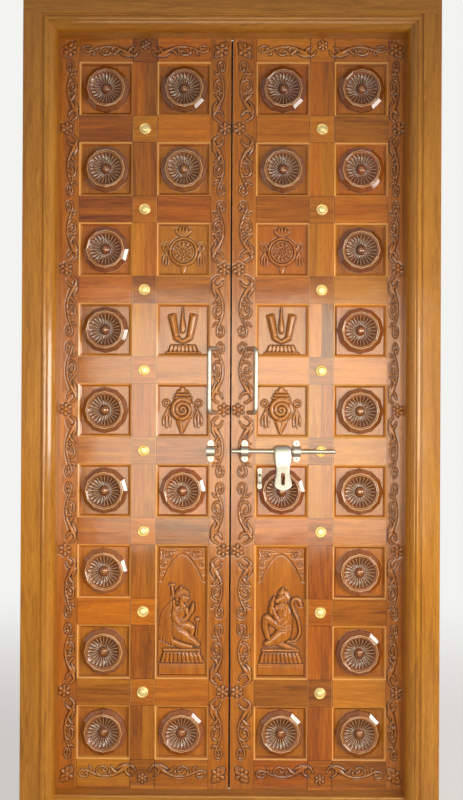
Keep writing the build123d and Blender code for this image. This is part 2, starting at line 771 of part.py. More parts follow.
def hasp():
    """Hasp hub rolled round the rod's neck, with its waisted plate and slot, tipped out at rest."""
    hub = Rot(0, 90, 0) * Cylinder(HASP_HUB_R, HASP_HUB_W)
    top = (HASP_TOP_W / 2, 0)
    neck = (HASP_NECK_W / 2, -HASP_NECK_DROP)
    waist = (HASP_WAIST_W / 2, -HASP_WAIST_DROP)
    flare = (HASP_FLARE_W / 2, -HASP_FLARE_DROP)
    corner = (HASP_END_W / 2, -HASP_CORNER_DROP)
    side = [ThreePointArc(top, neck, waist), ThreePointArc(waist, flare, corner)]
    end = ThreePointArc(corner, (0, -HASP_END_DROP), (-corner[0], corner[1]))
    other = [mirror(line, about=Plane.YZ) for line in side]
    plan = make_face([Line((-top[0], 0), top), *side, end, *other])
    plate = Pos(0, 0, -HASP_T / 2) * extrude(plan, amount=HASP_T)
    slot = Pos(0, -HASP_SLOT_DROP, -HASP_T) * extrude(
        Rot(0, 0, 90) * SlotOverall(HASP_SLOT_H, HASP_SLOT_W), amount=HASP_T * 2
    )
    bore = Rot(0, 90, 0) * Cylinder(ROD_NECK_R + SLIDE_CLEAR, HASP_HUB_W * 2)
    flat = hub + plate - slot - bore
    return on_panel(Rot(-HASP_TILT, 0, 0) * flat, STAPLE_X + HASP_TRAVEL, BOLT_Z, ROD_Y)


def staple_outline():
    ears = [
        Pos(0, s * (STAPLE_HALF_H - STAPLE_PLATE_W / 2)) * Circle(STAPLE_PLATE_W / 2)
        for s in (-1, 1)
    ]
    strap = Rectangle(STAPLE_PLATE_W * STAPLE_STRAP_SHARE, STAPLE_HALF_H * 2 - STAPLE_PLATE_W)
    return Sketch() + ears + strap


def staple():
    """Padlock staple: a plate with two ears and a bar loop standing up through the hasp's slot."""
    plate = raised(staple_outline(), STAPLE_PLATE_T)
    half = STAPLE_EYE_H / 2 + STAPLE_BAR_R
    reach = STAPLE_PROUD - STAPLE_BAR_R
    corners = [(0, -half, 0), (0, -half, reach), (0, half, reach), (0, half, 0)]
    path = FilletPolyline(*corners, radius=half * STAPLE_BEND_SHARE)
    loop = sweep(Plane(origin=path @ 0, z_dir=(0, 0, 1)) * Circle(STAPLE_BAR_R), path=path)
    return on_panel(plate + loop, STAPLE_X, BOLT_Z - HASP_SLOT_DROP, LEAF_Y)


def staple_packing(boss):
    """Wood packing under the staple's plate, fitted against the rosette beside it."""
    half = STAPLE_HALF_H - PACKING_INSET
    x0 = MEETING_STILE_W["right"] + MEETING_GAP / 2 + BEVEL_W + JOINT_CLEAR
    z = BOLT_Z - HASP_SLOT_DROP
    x1 = STAPLE_X + STAPLE_PLATE_W / 2 - PACKING_INSET
    packing = block(x0, LEAF_Y, z - half, x1, GROUND_Y, z + half)
    grown = Pos(-2 * JOINT_CLEAR, 0, 0) * boss
    return packing - boss - grown


# Hinges


def hinge_zs():
    span = LEAF_Z1 - LEAF_Z0 - 2 * HINGE_END
    return [LEAF_Z0 + HINGE_END + span * i / (HINGES - 1) for i in range(HINGES)]


def knuckle_spans(odd):
    """Heights of every second knuckle about a hinge's middle."""
    pitch = HINGE_H / HINGE_KNUCKLES
    first = 1 if odd else 0
    gap = HINGE_KNUCKLE_GAP / 2
    return [
        (-HINGE_H / 2 + pitch * i + gap, -HINGE_H / 2 + pitch * (i + 1) - gap)
        for i in range(first, HINGE_KNUCKLES, 2)
    ]


def hinge_plate(z, on_leaf):
    """One plate of a butt hinge with its knuckles, drawn for the left leaf."""
    edge = -EDGE_X if on_leaf else -REBATE_X
    x0, x1 = (edge, edge + HINGE_PLATE_T) if on_leaf else (edge - HINGE_PLATE_T, edge)
    y0 = BACK_Y - HINGE_PLATE_W
    plate = block(x0, y0, z - HINGE_H / 2, x1, BACK_Y - HINGE_KNUCKLE_GAP, z + HINGE_H / 2)
    for low, high in knuckle_spans(on_leaf):
        centre = (-HINGE_X, HINGE_Y, z + (low + high) / 2)
        plate += block(x0, BACK_Y - HINGE_KNUCKLE_ROOT, z + low, x1, HINGE_Y, z + high)
        plate += rod_along("z", HINGE_KNUCKLE_R, high - low, centre)
    length = HINGE_H + 2 * OVERCUT
    bore = rod_along("z", HINGE_PIN_R + HINGE_PIN_CLEAR, length, (-HINGE_X, HINGE_Y, z))
    return plate - bore


def hinge_pin(z):
    pin = rod_along("z", HINGE_PIN_R, HINGE_H, (-HINGE_X, HINGE_Y, z))
    heads = [
        rod_along(
            "z",
            HINGE_PIN_HEAD_R,
            HINGE_PIN_HEAD_H,
            (-HINGE_X, HINGE_Y, z + s * (HINGE_H + HINGE_PIN_HEAD_H) / 2),
        )
        for s in (-1, 1)
    ]
    return pin + heads


def hinge_recess(z, on_leaf):
    """Pocket let into the wood so that a hinge plate lies flush."""
    edge = -EDGE_X if on_leaf else -REBATE_X
    x0, x1 = (edge, edge + HINGE_PLATE_T) if on_leaf else (edge - HINGE_PLATE_T, edge)
    half = HINGE_H / 2 + JOINT_CLEAR
    return block(x0, BACK_Y - HINGE_PLATE_W - JOINT_CLEAR, z - half, x1, BACK_Y, z + half)


# Assembly


def frame_nodes():
    jamb = left_jamb() - [hinge_recess(z, False) for z in hinge_zs()]
    return {
        "frame_jamb_left": jamb,
        "frame_jamb_right": mirror(jamb, about=Plane.YZ),
        "frame_head": head(),
        "frame_sill": sill(),
    }


def leaf_nodes(side, boss):
    """Every node of one leaf, drawn on the left and mirrored for the right."""
    boxes = openings(side)
    hinge_stile = stile(side, "hinge_stile") - [hinge_recess(z, True) for z in hinge_zs()]
    nodes = {"hinge_stile": hinge_stile, "meeting_stile": stile(side, "meeting_stile")}
    for name in rail_bands(side):
        nodes[name] = rail(side, name)
    nodes["muntins"] = group([muntin(side, row) for row in range(ROWS)])
    plain = []
    for (column, row), box in boxes.items():
        if column == "inner" and row in EMBLEMS:
            name, draw = EMBLEMS[row]
            emblem = scale(draw(), by=carving_scale())
            nodes[name] = board(box) + on_panel(emblem, *middle(box))
        elif column == "inner" and row == SHORT_RAIL - 1:
            figure = on_side(FIGURES[side](), side)
            nodes["figure_panel"] = tall_panel(box, figure)
        else:
            plain.append(box)
    nodes["panels"] = group([board(box) for box in plain])
    nodes["rosettes"] = group([on_panel(boss, *middle(box)) for box in plain])
    stud_x = columns(side)[1] - MUNTIN_W / 2
    nodes["studs"] = group(
        [on_panel(stud(), stud_x, rail_z(r), LEAF_Y) for r in range(1, ROWS)]
    )
    nodes["hinge_leaf_plates"] = group([hinge_plate(z, True) for z in hinge_zs()])
    nodes["hinge_frame_plates"] = group([hinge_plate(z, False) for z in hinge_zs()])
    nodes["hinge_pins"] = group([hinge_pin(z) for z in hinge_zs()])
    foot_x = -MEETING_GAP / 2 - MEETING_STILE_W[side] + HANDLE_INSET
    nodes["pull_handle"] = handle(foot_x, -1)
    return {f"{side}_{name}": on_side(shape, side) for name, shape in nodes.items()}


def bolt_nodes(boss):
    box = openings("right")["inner", BOLT_RAIL - 1]
    x, z = middle(box)
    beside = on_panel(boss, -x, z)
    hole = ROD_R + SLIDE_CLEAR
    return {
        "bolt_rod": bolt_rod(),
        "bolt_hasp": hasp(),
        "bolt_guides": group([guide(x, GUIDE_W, hole) for x in GUIDE_XS]),
        "bolt_keeper": guide(KEEPER_X, KEEPER_W, ROD_R + KEEPER_CLEAR),
        "bolt_staple": staple(),
        "staple_packing": staple_packing(beside),
    }


def main():
    boss = rosette()
    nodes = frame_nodes()
    for side in SIDES:
        nodes.update(leaf_nodes(side, boss))
    nodes.update(bolt_nodes(boss))
    os.makedirs("parts", exist_ok=True)
    for name, shape in nodes.items():
        export_step(shape, f"parts/{name}.step")


main()
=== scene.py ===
"""Carved temple door: teak, brass and steel finishes and the carved faces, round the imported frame.

Metres in Blender; the carving is drawn in millimetres and scaled once by MM.
+Z is up, the carved front faces -Y.
"""
import math

import bmesh
import bpy
import numpy as np
from mathutils import Matrix, Vector


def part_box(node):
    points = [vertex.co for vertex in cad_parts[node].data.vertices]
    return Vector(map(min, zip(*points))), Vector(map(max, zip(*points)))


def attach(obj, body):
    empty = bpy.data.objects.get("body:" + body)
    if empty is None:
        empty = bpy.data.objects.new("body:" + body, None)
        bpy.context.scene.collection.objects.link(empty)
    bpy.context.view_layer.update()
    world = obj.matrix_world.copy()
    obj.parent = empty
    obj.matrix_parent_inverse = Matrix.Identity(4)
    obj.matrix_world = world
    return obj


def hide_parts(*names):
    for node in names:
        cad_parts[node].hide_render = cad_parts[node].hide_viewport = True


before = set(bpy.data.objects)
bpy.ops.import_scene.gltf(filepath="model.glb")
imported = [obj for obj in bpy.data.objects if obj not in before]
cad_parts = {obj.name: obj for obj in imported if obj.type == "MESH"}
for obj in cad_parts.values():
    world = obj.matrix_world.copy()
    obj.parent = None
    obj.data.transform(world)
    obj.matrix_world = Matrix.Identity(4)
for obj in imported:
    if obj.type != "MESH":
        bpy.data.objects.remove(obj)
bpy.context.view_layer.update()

MM = 0.001

# Places shared with the part's source, in millimetres
SIGHT_X = 515.5
EDGE_X = 527.5
MEETING_X = 2.5
LEAF_Y = 16.0
GROUND_Y = 27.0
LEAF_Z = (82.0, 2356.0)
SIGHT_Z = (94.0, 2344.0)
FIRST_Z = 181.0
LAST_Z = 2275.0
ROW_PITCH = 241.5
OPENING_W = 161.0
OPENING_H = 162.0
RAIL_H = 79.5
ROWS = 9
MUNTIN_W = 73.5
HINGE_STILE_W = {"left": 69.0, "right": 59.0}
MEETING_STILE_W = {"left": 60.5, "right": 70.5}
TALL_ROWS = (1, 2)
EMBLEM_ROWS = {6: "wheel", 5: "tilak", 4: "conch"}
BOLT_Z = 1107.25
GUIDE_X = (42.5, 197.5)
KEEPER_X = -59.0
EAR_UP, EAR_T = 22.5, 4.0
STAPLE_AT, STAPLE_UP, STAPLE_T = (87.5, 1025.25), 24.5, 3.0

# Camera, from the places of studs, rosettes and frame edges in the photograph
IMAGE_H = 800
FOCAL_PX = 839.1
CAMERA_AT = (0.0186, -2.5, 1.2548)
CAMERA_PITCH, CAMERA_YAW, CAMERA_ROLL = 0.00208, 0.0065, 0.00452
SENSOR_MM = 36.0
SEEN_TO = 60.0

# Each lamp's place, aim, width and height in metres, watts, colour, and spread in degrees
LEAF_MIDDLE = (0.0, 0.0, 1.0)
LAMPS = {
    "key": ((2.6, -2.0, 1.28), LEAF_MIDDLE, (2.5, 0.9), 20, (1.0, 0.95, 0.86), 82),
    "front": ((0.1, -2.75, 1.12), LEAF_MIDDLE, (2.0, 1.5), 12, (1.0, 0.91, 0.72), 80),
    "fill": ((-2.9, -2.2, 1.2), LEAF_MIDDLE, (2.4, 2.0), 5, (1.0, 0.96, 0.90), 180),
    "back": ((0.8, 3.3, 2.8), (0, 0, 1.2), (3.0, 2.0), 90, (1.0, 0.98, 0.95), 180),
}
BACKDROP = (0.90, 0.90, 0.88, 1.0)
WORLD_TINT = (0.95, 0.97, 1.0, 1.0)
WORLD_LIGHT = 0.12
MIRRORED_SHARE = 0.4
FLOOR_REACH = 14.0
FLOOR_FADE = (1.0, 3.4)
FLOOR_NEAR_SHARE = 0.4

SIDES = {"left": 1, "right": -1}


def row_middle(row):
    return FIRST_Z + ROW_PITCH * row + OPENING_H / 2


def columns(side):
    """Middles of the outer and inner openings, as on the left leaf."""
    outer = -EDGE_X + HINGE_STILE_W[side] + OPENING_W / 2
    return outer, outer + OPENING_W + MUNTIN_W


def opening_edges():
    """X of both sides of each column of openings, over both leaves, from left to right."""
    half = OPENING_W / 2
    middles = [x * sign for side, sign in SIDES.items() for x in columns(side)]
    return sorted(x + reach for x in middles for reach in (-half, half))


# Camera, stage and light


def in_scene(name, data):
    obj = bpy.data.objects.new(name, data)
    bpy.context.scene.collection.objects.link(obj)
    return obj


def add_camera():
    data = bpy.data.cameras.new("camera")
    data.sensor_fit = "VERTICAL"
    data.sensor_height = SENSOR_MM
    data.lens = FOCAL_PX / IMAGE_H * SENSOR_MM
    data.clip_end = SEEN_TO
    cam = in_scene("camera", data)
    turn = Matrix.Rotation(CAMERA_YAW, 4, "Z") @ Matrix.Rotation(math.pi / 2 + CAMERA_PITCH, 4, "X")
    turn = turn @ Matrix.Rotation(CAMERA_ROLL, 4, "Z")
    cam.matrix_world = Matrix.Translation(CAMERA_AT) @ turn
    bpy.context.scene.camera = cam


def area_light(name, at, aim, size, watts, colour, spread):
    data = bpy.data.lights.new(name, "AREA")
    data.shape = "RECTANGLE"
    data.size, data.size_y = size
    data.energy = watts
    data.color = colour
    data.spread = math.radians(spread)
    lamp = in_scene(name, data)
    lamp.location = at
    lamp.rotation_euler = (Vector(aim) - Vector(at)).to_track_quat("-Z", "Y").to_euler()


def add_world():
    """Soft surround; the camera and mirrors see a pale backdrop."""
    world = bpy.data.worlds.new("studio")
    bpy.context.scene.world = world
    g = Graph(world)
    lit = g.put(g.tree.nodes["Background"], Color=WORLD_TINT, Strength=WORLD_LIGHT)
    seen = g.put(g.node("Background"), Color=BACKDROP, Strength=1.0)
    path = g.node("LightPath").outputs
    mirrored = g.times(path["Is Glossy Ray"], MIRRORED_SHARE)
    g.end_in_mix("World Output", g.add(mirrored, path["Is Camera Ray"]), lit, seen)


def add_floor():
    """Wide pale floor, which fades towards the pale world behind it."""
    far = FLOOR_REACH
    mesh = bpy.data.meshes.new("studio_floor")
    mesh.from_pydata([(-far, -far, 0), (far, -far, 0), (far, far, 0), (-far, far, 0)], [], [(0, 1, 2, 3)])
    floor = in_scene("studio_floor", mesh)
    g, position = new_material("pale_floor")
    cloud = g.noise(position, 1.6, 4.0, 0.5)
    g.set(Base_Color=g.ramp(cloud, [(0.3, (0.80, 0.79, 0.77)), (0.7, (0.83, 0.82, 0.80))]), Roughness=0.8)
    length = g.node("VectorMath", operation="LENGTH")
    g.feed(length.inputs[0], position)
    fade = g.node("MapRange", interpolation_type="SMOOTHSTEP")
    g.put(fade, Value=length.outputs["Value"], From_Min=FLOOR_FADE[0], From_Max=FLOOR_FADE[1])
    g.put(fade, To_Min=FLOOR_NEAR_SHARE)
    seen = g.times(fade.outputs["Result"], g.node("LightPath").outputs["Is Camera Ray"])
    g.end_in_mix("Material Output", seen, g.shader, g.put(g.node("Emission"), Color=BACKDROP))
    mesh.materials.append(g.owner)


# Materials

# Colour of the painted highlight along the upper edge of the bevels
ARRIS_HIGHLIGHT = (0.95, 0.52, 0.17, 1.0)
# Colour of the painted highlight on the carving's crests
CREST_HIGHLIGHT = (0.82, 0.45, 0.18, 1.0)
# Share of the darkest wood tone, used for the painted shade in hollows and for the dark joint lines
SHADE_AND_JOINT_SHARE = (0.20, 0.15, 0.15)
JOINT_LINE = 1.3
GRAIN_ALONG, GRAIN_ACROSS, PORES_FINER = 1.3, 22.0, 9
GRAIN_SEED = {"x": 2.3, "z": 7.1, "board": 4.4}


class Graph:
    """Small helper round the node tree of a material or a world."""

    def __init__(self, owner):
        owner.use_nodes = True
        self.owner = owner
        self.tree = owner.node_tree
        self.shader = self.tree.nodes.get("Principled BSDF")

    def node(self, kind, **values):
        made = self.tree.nodes.new("ShaderNode" + kind)
        for key, value in values.items():
            setattr(made, key, value)
        return made

    def feed(self, socket, value):
        if isinstance(value, bpy.types.NodeSocket):
            self.tree.links.new(value, socket)
        else:
            socket.default_value = value

    def put(self, node, **values):
        """Feed a node's inputs by name, with _ for a space."""
        for key, value in values.items():
            self.feed(node.inputs[key.replace("_", " ")], value)
        return node

    def set(self, **values):
        self.put(self.shader, **values)

    def math(self, operation, a, b=0.0):
        made = self.node("Math", operation=operation)
        self.feed(made.inputs[0], a)
        self.feed(made.inputs[1], b)
        return made.outputs[0]

    def add(self, a, b):
        return self.math("ADD", a, b)

    def times(self, a, b):
        return self.math("MULTIPLY", a, b)

    def minus(self, a, b):
        return self.math("SUBTRACT", a, b)

    def split(self, kind, value):
        """Outputs of a node that separates XYZ or Color."""
        made = self.node("Separate" + kind)
        self.feed(made.inputs[0], value)
        return made.outputs

    def noise(self, vector, scale, detail=3.0, rough=0.55, distortion=0.0):
        made = self.node("TexNoise")
        self.put(made, Vector=vector, Scale=scale, Detail=detail, Roughness=rough, Distortion=distortion)
        return made.outputs["Fac"]

    def scaled(self, vector, scale, shift=(0, 0, 0)):
        return self.put(self.node("Mapping"), Vector=vector, Scale=scale, Location=shift).outputs[0]

    def ramp(self, factor, stops):
        made = self.node("ValToRGB")
        points = made.color_ramp.elements
        while len(points) < len(stops):
            points.new(0.5)
        for point, (at, colour) in zip(points, stops):
            point.position = at
            point.color = (*colour, 1.0)
        self.feed(made.inputs[0], factor)
        return made.outputs[0]

    def mix(self, factor, a, b, blend="MIX"):
        made = self.node("Mix", data_type="RGBA", blend_type=blend)
        self.feed(made.inputs[0], factor)
        self.feed(made.inputs[6], a)
        self.feed(made.inputs[7], b)
        return made.outputs[2]

    def bump(self, height, strength, distance, normal=None):
        made = self.put(self.node("Bump"), Strength=strength, Distance=distance, Height=height)
        if normal is not None:
            self.put(made, Normal=normal)
        return made.outputs[0]

    def painted(self, name):
        """Value that the mesh carries at each point."""
        return self.node("Attribute", attribute_name=name).outputs["Fac"]

    def end_in_mix(self, output, share, plain, seen):
        """End the tree in a mix of two shaders."""
        both = self.node("MixShader")
        for socket, value in zip(both.inputs, (share, plain.outputs[0], seen.outputs[0])):
            self.feed(socket, value)
        self.put(self.tree.nodes[output], Surface=both.outputs[0])


def new_material(name):
    """Graph of a new material, and the place of each point, in metres."""
    g = Graph(bpy.data.materials.new(name))
    return g, g.node("TexCoord").outputs["Object"]


def above(g, value, cuts):
    """How many of the cuts, in millimetres, a coordinate has passed."""
    total = 0.0
    for cut in cuts:
        total = g.add(total, g.math("GREATER_THAN", value, cut * MM))
    return total


def nearest(g, value, cuts):
    """Distance from a coordinate to the nearest of the cuts."""
    least = 2 * EDGE_X * MM
    for cut in cuts:
        least = g.math("MINIMUM", least, g.math("ABSOLUTE", g.minus(value, cut * MM)))
    return least


def timber_length(g, position, grain):
    """A random value and colour for each separate length, and the line where lengths meet."""
    x, _, z = g.split("XYZ", position)
    edges = opening_edges()
    phase = g.math("DIVIDE", g.minus(z, FIRST_Z * MM), ROW_PITCH * MM)
    if grain == "x":
        column = above(g, x, (*edges[1:3], 0.0, *edges[5:7]))
        row = g.math("FLOOR", g.add(phase, RAIL_H / ROW_PITCH))
        gap = nearest(g, x, edges)
    else:
        column = above(g, x, ((edges[1] + edges[2]) / 2, 0.0, (edges[5] + edges[6]) / 2))
        row = g.math("FLOOR", phase)
        half = 0.5 * RAIL_H / ROW_PITCH
        within = g.math("FRACT", g.add(phase, half))
        low = g.math("ABSOLUTE", g.minus(within, half))
        high = g.math("ABSOLUTE", g.minus(within, 1 - half))
        gap = g.times(g.math("MINIMUM", low, high), ROW_PITCH * MM)
    joined = g.put(g.node("CombineXYZ"), X=column, Y=GRAIN_SEED[grain], Z=row)
    white = g.put(g.node("TexWhiteNoise", noise_dimensions="3D"), Vector=joined.outputs[0]).outputs
    line = g.math("LESS_THAN", gap, JOINT_LINE * MM) if grain != "board" else 0.0
    return white["Value"], white["Color"], line


def bevel_highlight_and_shade(g, colour, y, shade_and_joint_tone):
    """Painted highlight along the upper edge and painted shade at the foot of the bevels round the leaf's
    openings.
    """
    depth = g.math("DIVIDE", g.minus(y, LEAF_Y * MM), (GROUND_Y - LEAF_Y) * MM)
    pale = g.ramp(depth, [(0.01, (0, 0, 0)), (0.05, (0.7,) * 3), (0.26, (0.55,) * 3), (0.40, (0, 0, 0))])
    foot = g.ramp(depth, [(0.78, (0, 0, 0)), (0.92, (0.75,) * 3), (1.0, (0.75,) * 3), (1.05, (0, 0, 0))])
    plain = g.minus(1.0, g.painted("carved"))
    colour = g.mix(g.times(pale, plain), colour, ARRIS_HIGHLIGHT)
    return g.mix(foot, colour, shade_and_joint_tone)


def teak(
    name, grain, tones, by_length=True, gloss=0.13, spread=0.34, calm=1.0, varnish=1.55, bevelled=False
):
    """Varnished teak with its grain along X or Z, painted shade in the carving's hollows and a painted
    highlight on its crests.
    """
    g, position = new_material(name)
    tone, scatter, line = 0.5, (0.0, 0.0, 0.0), 0.0
    if by_length:
        tone, scatter, line = timber_length(g, position, grain)
    stretch = (GRAIN_ALONG, GRAIN_ACROSS, GRAIN_ACROSS)
    if grain != "x":
        stretch = stretch[::-1]
    lines = g.scaled(position, stretch, scatter)
    fine = g.scaled(position, tuple(s * PORES_FINER for s in stretch), scatter)
    figure = g.noise(lines, 1.25, 4.0, 0.55, 1.3)
    streak = g.noise(lines, 6.5, 3.0, 0.6, 0.3)
    pores = g.noise(fine, 4.0, 2.0, 0.7)
    rings = g.math("ABSOLUTE", g.minus(g.math("FRACT", g.times(figure, 8.0)), 0.5))
    blend = g.add(g.times(figure, 0.60), g.times(streak, 0.40))
    blend = g.add(blend, g.times(g.minus(rings, 0.25), 0.24))
    blend = g.add(g.times(g.minus(blend, 0.5), calm), 0.5)
    if by_length:
        blend = g.add(blend, g.times(g.minus(tone, 0.5), spread))
    colour = g.ramp(blend, list(zip((0.20, 0.48, 0.76), tones)))
    pore = g.ramp(pores, [(0.34, (0.50, 0.40, 0.32)), (0.50, (1, 1, 1))])
    colour = g.mix(0.45, colour, pore, "MULTIPLY")
    if by_length:
        hue = g.split("Color", scatter)[1]
        tint = g.ramp(hue, [(0.0, (1.02, 0.86, 0.66)), (0.35, (1, 1, 1)), (1.0, (0.90, 0.98, 1.0))])
        colour = g.mix(1.0, colour, tint, "MULTIPLY")
    shade_and_joint_tone = (*(part * share for part, share in zip(tones[0], SHADE_AND_JOINT_SHARE)), 1.0)
    # Painted shade in the carving's hollows
    colour = g.mix(g.painted("hollow"), colour, shade_and_joint_tone)
    # Painted highlight on the carving's crests
    colour = g.mix(g.painted("crest"), colour, CREST_HIGHLIGHT)
    if by_length:
        colour = g.mix(g.times(line, 0.85), colour, shade_and_joint_tone)
    if bevelled:
        # Painted highlight and painted shade on the bevels round the openings
        colour = bevel_highlight_and_shade(g, colour, g.split("XYZ", position)["Y"], shade_and_joint_tone)
    g.set(Base_Color=colour, Roughness=g.ramp(pores, [(0.3, (0.50,) * 3), (0.6, (0.38,) * 3)]))
    g.set(Specular_IOR_Level=0.12, Coat_Weight=0.95, Coat_Roughness=gloss, Coat_IOR=varnish)
    height = g.add(g.times(pores, 0.5), g.times(streak, 0.5))
    wave = g.bump(g.noise(position, 9.0, 2.0, 0.5), 0.25, 0.004)
    g.set(Normal=g.bump(height, 0.22, 0.0006, wave), Coat_Normal=wave)
    return g.owner


def metal(name, colour, dull, roughness, scratches=(40, 400, 900)):
    """Metal with fine scratches and a slightly dulled, handled surface."""
    g, position = new_material(name)
    cloud = g.ramp(g.noise(position, 60.0, 4.0, 0.6), [(0.35, (0, 0, 0)), (0.75, (1, 1, 1))])
    scratch = g.noise(g.scaled(position, scratches), 3.0, 2.0, 0.6)
    rough = g.add(g.times(scratch, 0.16), roughness - 0.08)
    g.set(Base_Color=g.mix(cloud, (*colour, 1.0), (*dull, 1.0)), Roughness=rough, Metallic=1.0)
    g.set(Normal=g.bump(scratch, 0.12, 0.0002))
    return g.owner


def gap_shade_material():
    """Near-black short pile of the strip between the leaves, a dark stand-in for the shade in the gap."""
    g, position = new_material("gap_shade_pile")
    hairs = g.noise(g.scaled(position, (300, 300, 2400)), 1.0, 2.0, 0.6)
    g.set(Base_Color=g.ramp(hairs, [(0.3, (0.006, 0.005, 0.004)), (0.7, (0.030, 0.024, 0.018))]))
    g.set(Roughness=0.95, Normal=g.bump(hairs, 0.6, 0.0006))
    return g.owner


def make_materials():
    golden = ((0.25, 0.086, 0.006), (0.47, 0.187, 0.015), (0.64, 0.285, 0.030))
    warm = ((0.17, 0.041, 0.003), (0.43, 0.126, 0.006), (0.64, 0.228, 0.013))
    red = ((0.10, 0.022, 0.003), (0.24, 0.062, 0.007), (0.40, 0.125, 0.015))
    return {
        "frame_x": teak("teak_frame_across", "x", golden, by_length=False),
        "frame_z": teak("teak_frame_upright", "z", golden, by_length=False),
        "leaf_x": teak("teak_leaf_across", "x", warm, bevelled=True),
        "leaf_z": teak("teak_leaf_upright", "z", warm, bevelled=True),
        "stile": teak("teak_stile", "z", warm, by_length=False, gloss=0.20, bevelled=True),
        "panel": teak("teak_panel", "board", warm, spread=0.16, calm=0.6),
        "figure": teak("teak_figure_panel", "z", warm, by_length=False, calm=0.8),
        "rosette": teak("teak_rosette", "board", red, gloss=0.06, spread=0.20, calm=0.7, varnish=1.8),
        "brass": metal("polished_brass", (0.95, 0.82, 0.46), (0.86, 0.68, 0.32), 0.50, (300,) * 3),
        "satin_steel": metal("satin_steel", (0.62, 0.60, 0.53), (0.52, 0.50, 0.43), 0.45),
        "hinge_steel": metal("hinge_steel", (0.42, 0.40, 0.37), (0.26, 0.24, 0.22), 0.42),
        "gap_shade": gap_shade_material(),
    }


# What a CAD node is made of goes by the first of these words in its name
FINISHES = {
    "frame_head": "frame_x", "frame_sill": "frame_x", "frame_jamb": "frame_z", "bolt": "satin_steel",
    "pull_handle": "satin_steel", "stile": "stile", "hinge": "hinge_steel", "studs": "brass",
    "rosettes": "rosette", "rail": "leaf_x", "figure": "figure", "muntins": "leaf_z", "": "panel",
}


def dress_cad(materials):
    for name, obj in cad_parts.items():
        finish = next(kind for word, kind in FINISHES.items() if word in name)
        obj.data.materials.clear()
        obj.data.materials.append(materials[finish])


# Carving, in millimetres

STROKE_REACH = 4.0
FAR = 1e3
VEIN_W = 0.28
TRENCH_D, TRENCH_W = 0.9, 1.5
BEAD_RUN = 0.01
RING_POINTS = 32
CURL_POINTS, CURL_THINNING = 22, 0.4
PETAL_WIDEST, PETAL_TIP = 0.62, 0.35
WELD, SLACK = 1e-6, 1e-5
# How far the tone is blurred, in grid steps and times, and the strongest painted highlight on a crest
BLUR_REACH, BLUR_TIMES = 2, 3
CREST_MOST = 0.75
# How strongly depth and height, in millimetres, give the face painted shade and painted highlight
FACE_TONE = (0.85, 0.07)
BOARD_TONE = (0.55, 0.07)


def smooth_line(points, step=2.0):
    """Catmull-Rom line through (u, v, radius) stations, sampled about every step."""
    pts = np.array(points, float)
    if len(pts) < 3:
        return pts
    ends = np.vstack([2 * pts[0] - pts[1], pts, 2 * pts[-1] - pts[-2]])
    out = []
    for i in range(1, len(ends) - 2):
        p0, p1, p2, p3 = ends[i - 1 : i + 3]
        n = max(2, int(np.hypot(*(p2 - p1)[:2]) / step))
        for t in np.arange(n) / n:
            bend = (2 * p0 - 5 * p1 + 4 * p2 - p3) * t**2 + (3 * p1 - p0 - 3 * p2 + p3) * t**3
            out.append(0.5 * (2 * p1 + (p2 - p0) * t + bend))
    out.append(ends[-2])
    return np.array(out)


def circle_points(radius, count):
    turn = [2 * math.pi * i / count for i in range(count)]
    return [(radius * math.cos(a), radius * math.sin(a)) for a in turn]


def to_segment(uu, vv, a, b):
    """Distance of every point from a segment, and the nearest place on it from 0 to 1."""
    d = b - a
    along = ((uu - a[0]) * d[0] + (vv - a[1]) * d[1]) / max(float(d @ d), 1e-9)
    t = np.clip(along, 0, 1)
    return np.hypot(uu - a[0] - t * d[0], vv - a[1] - t * d[1]), t


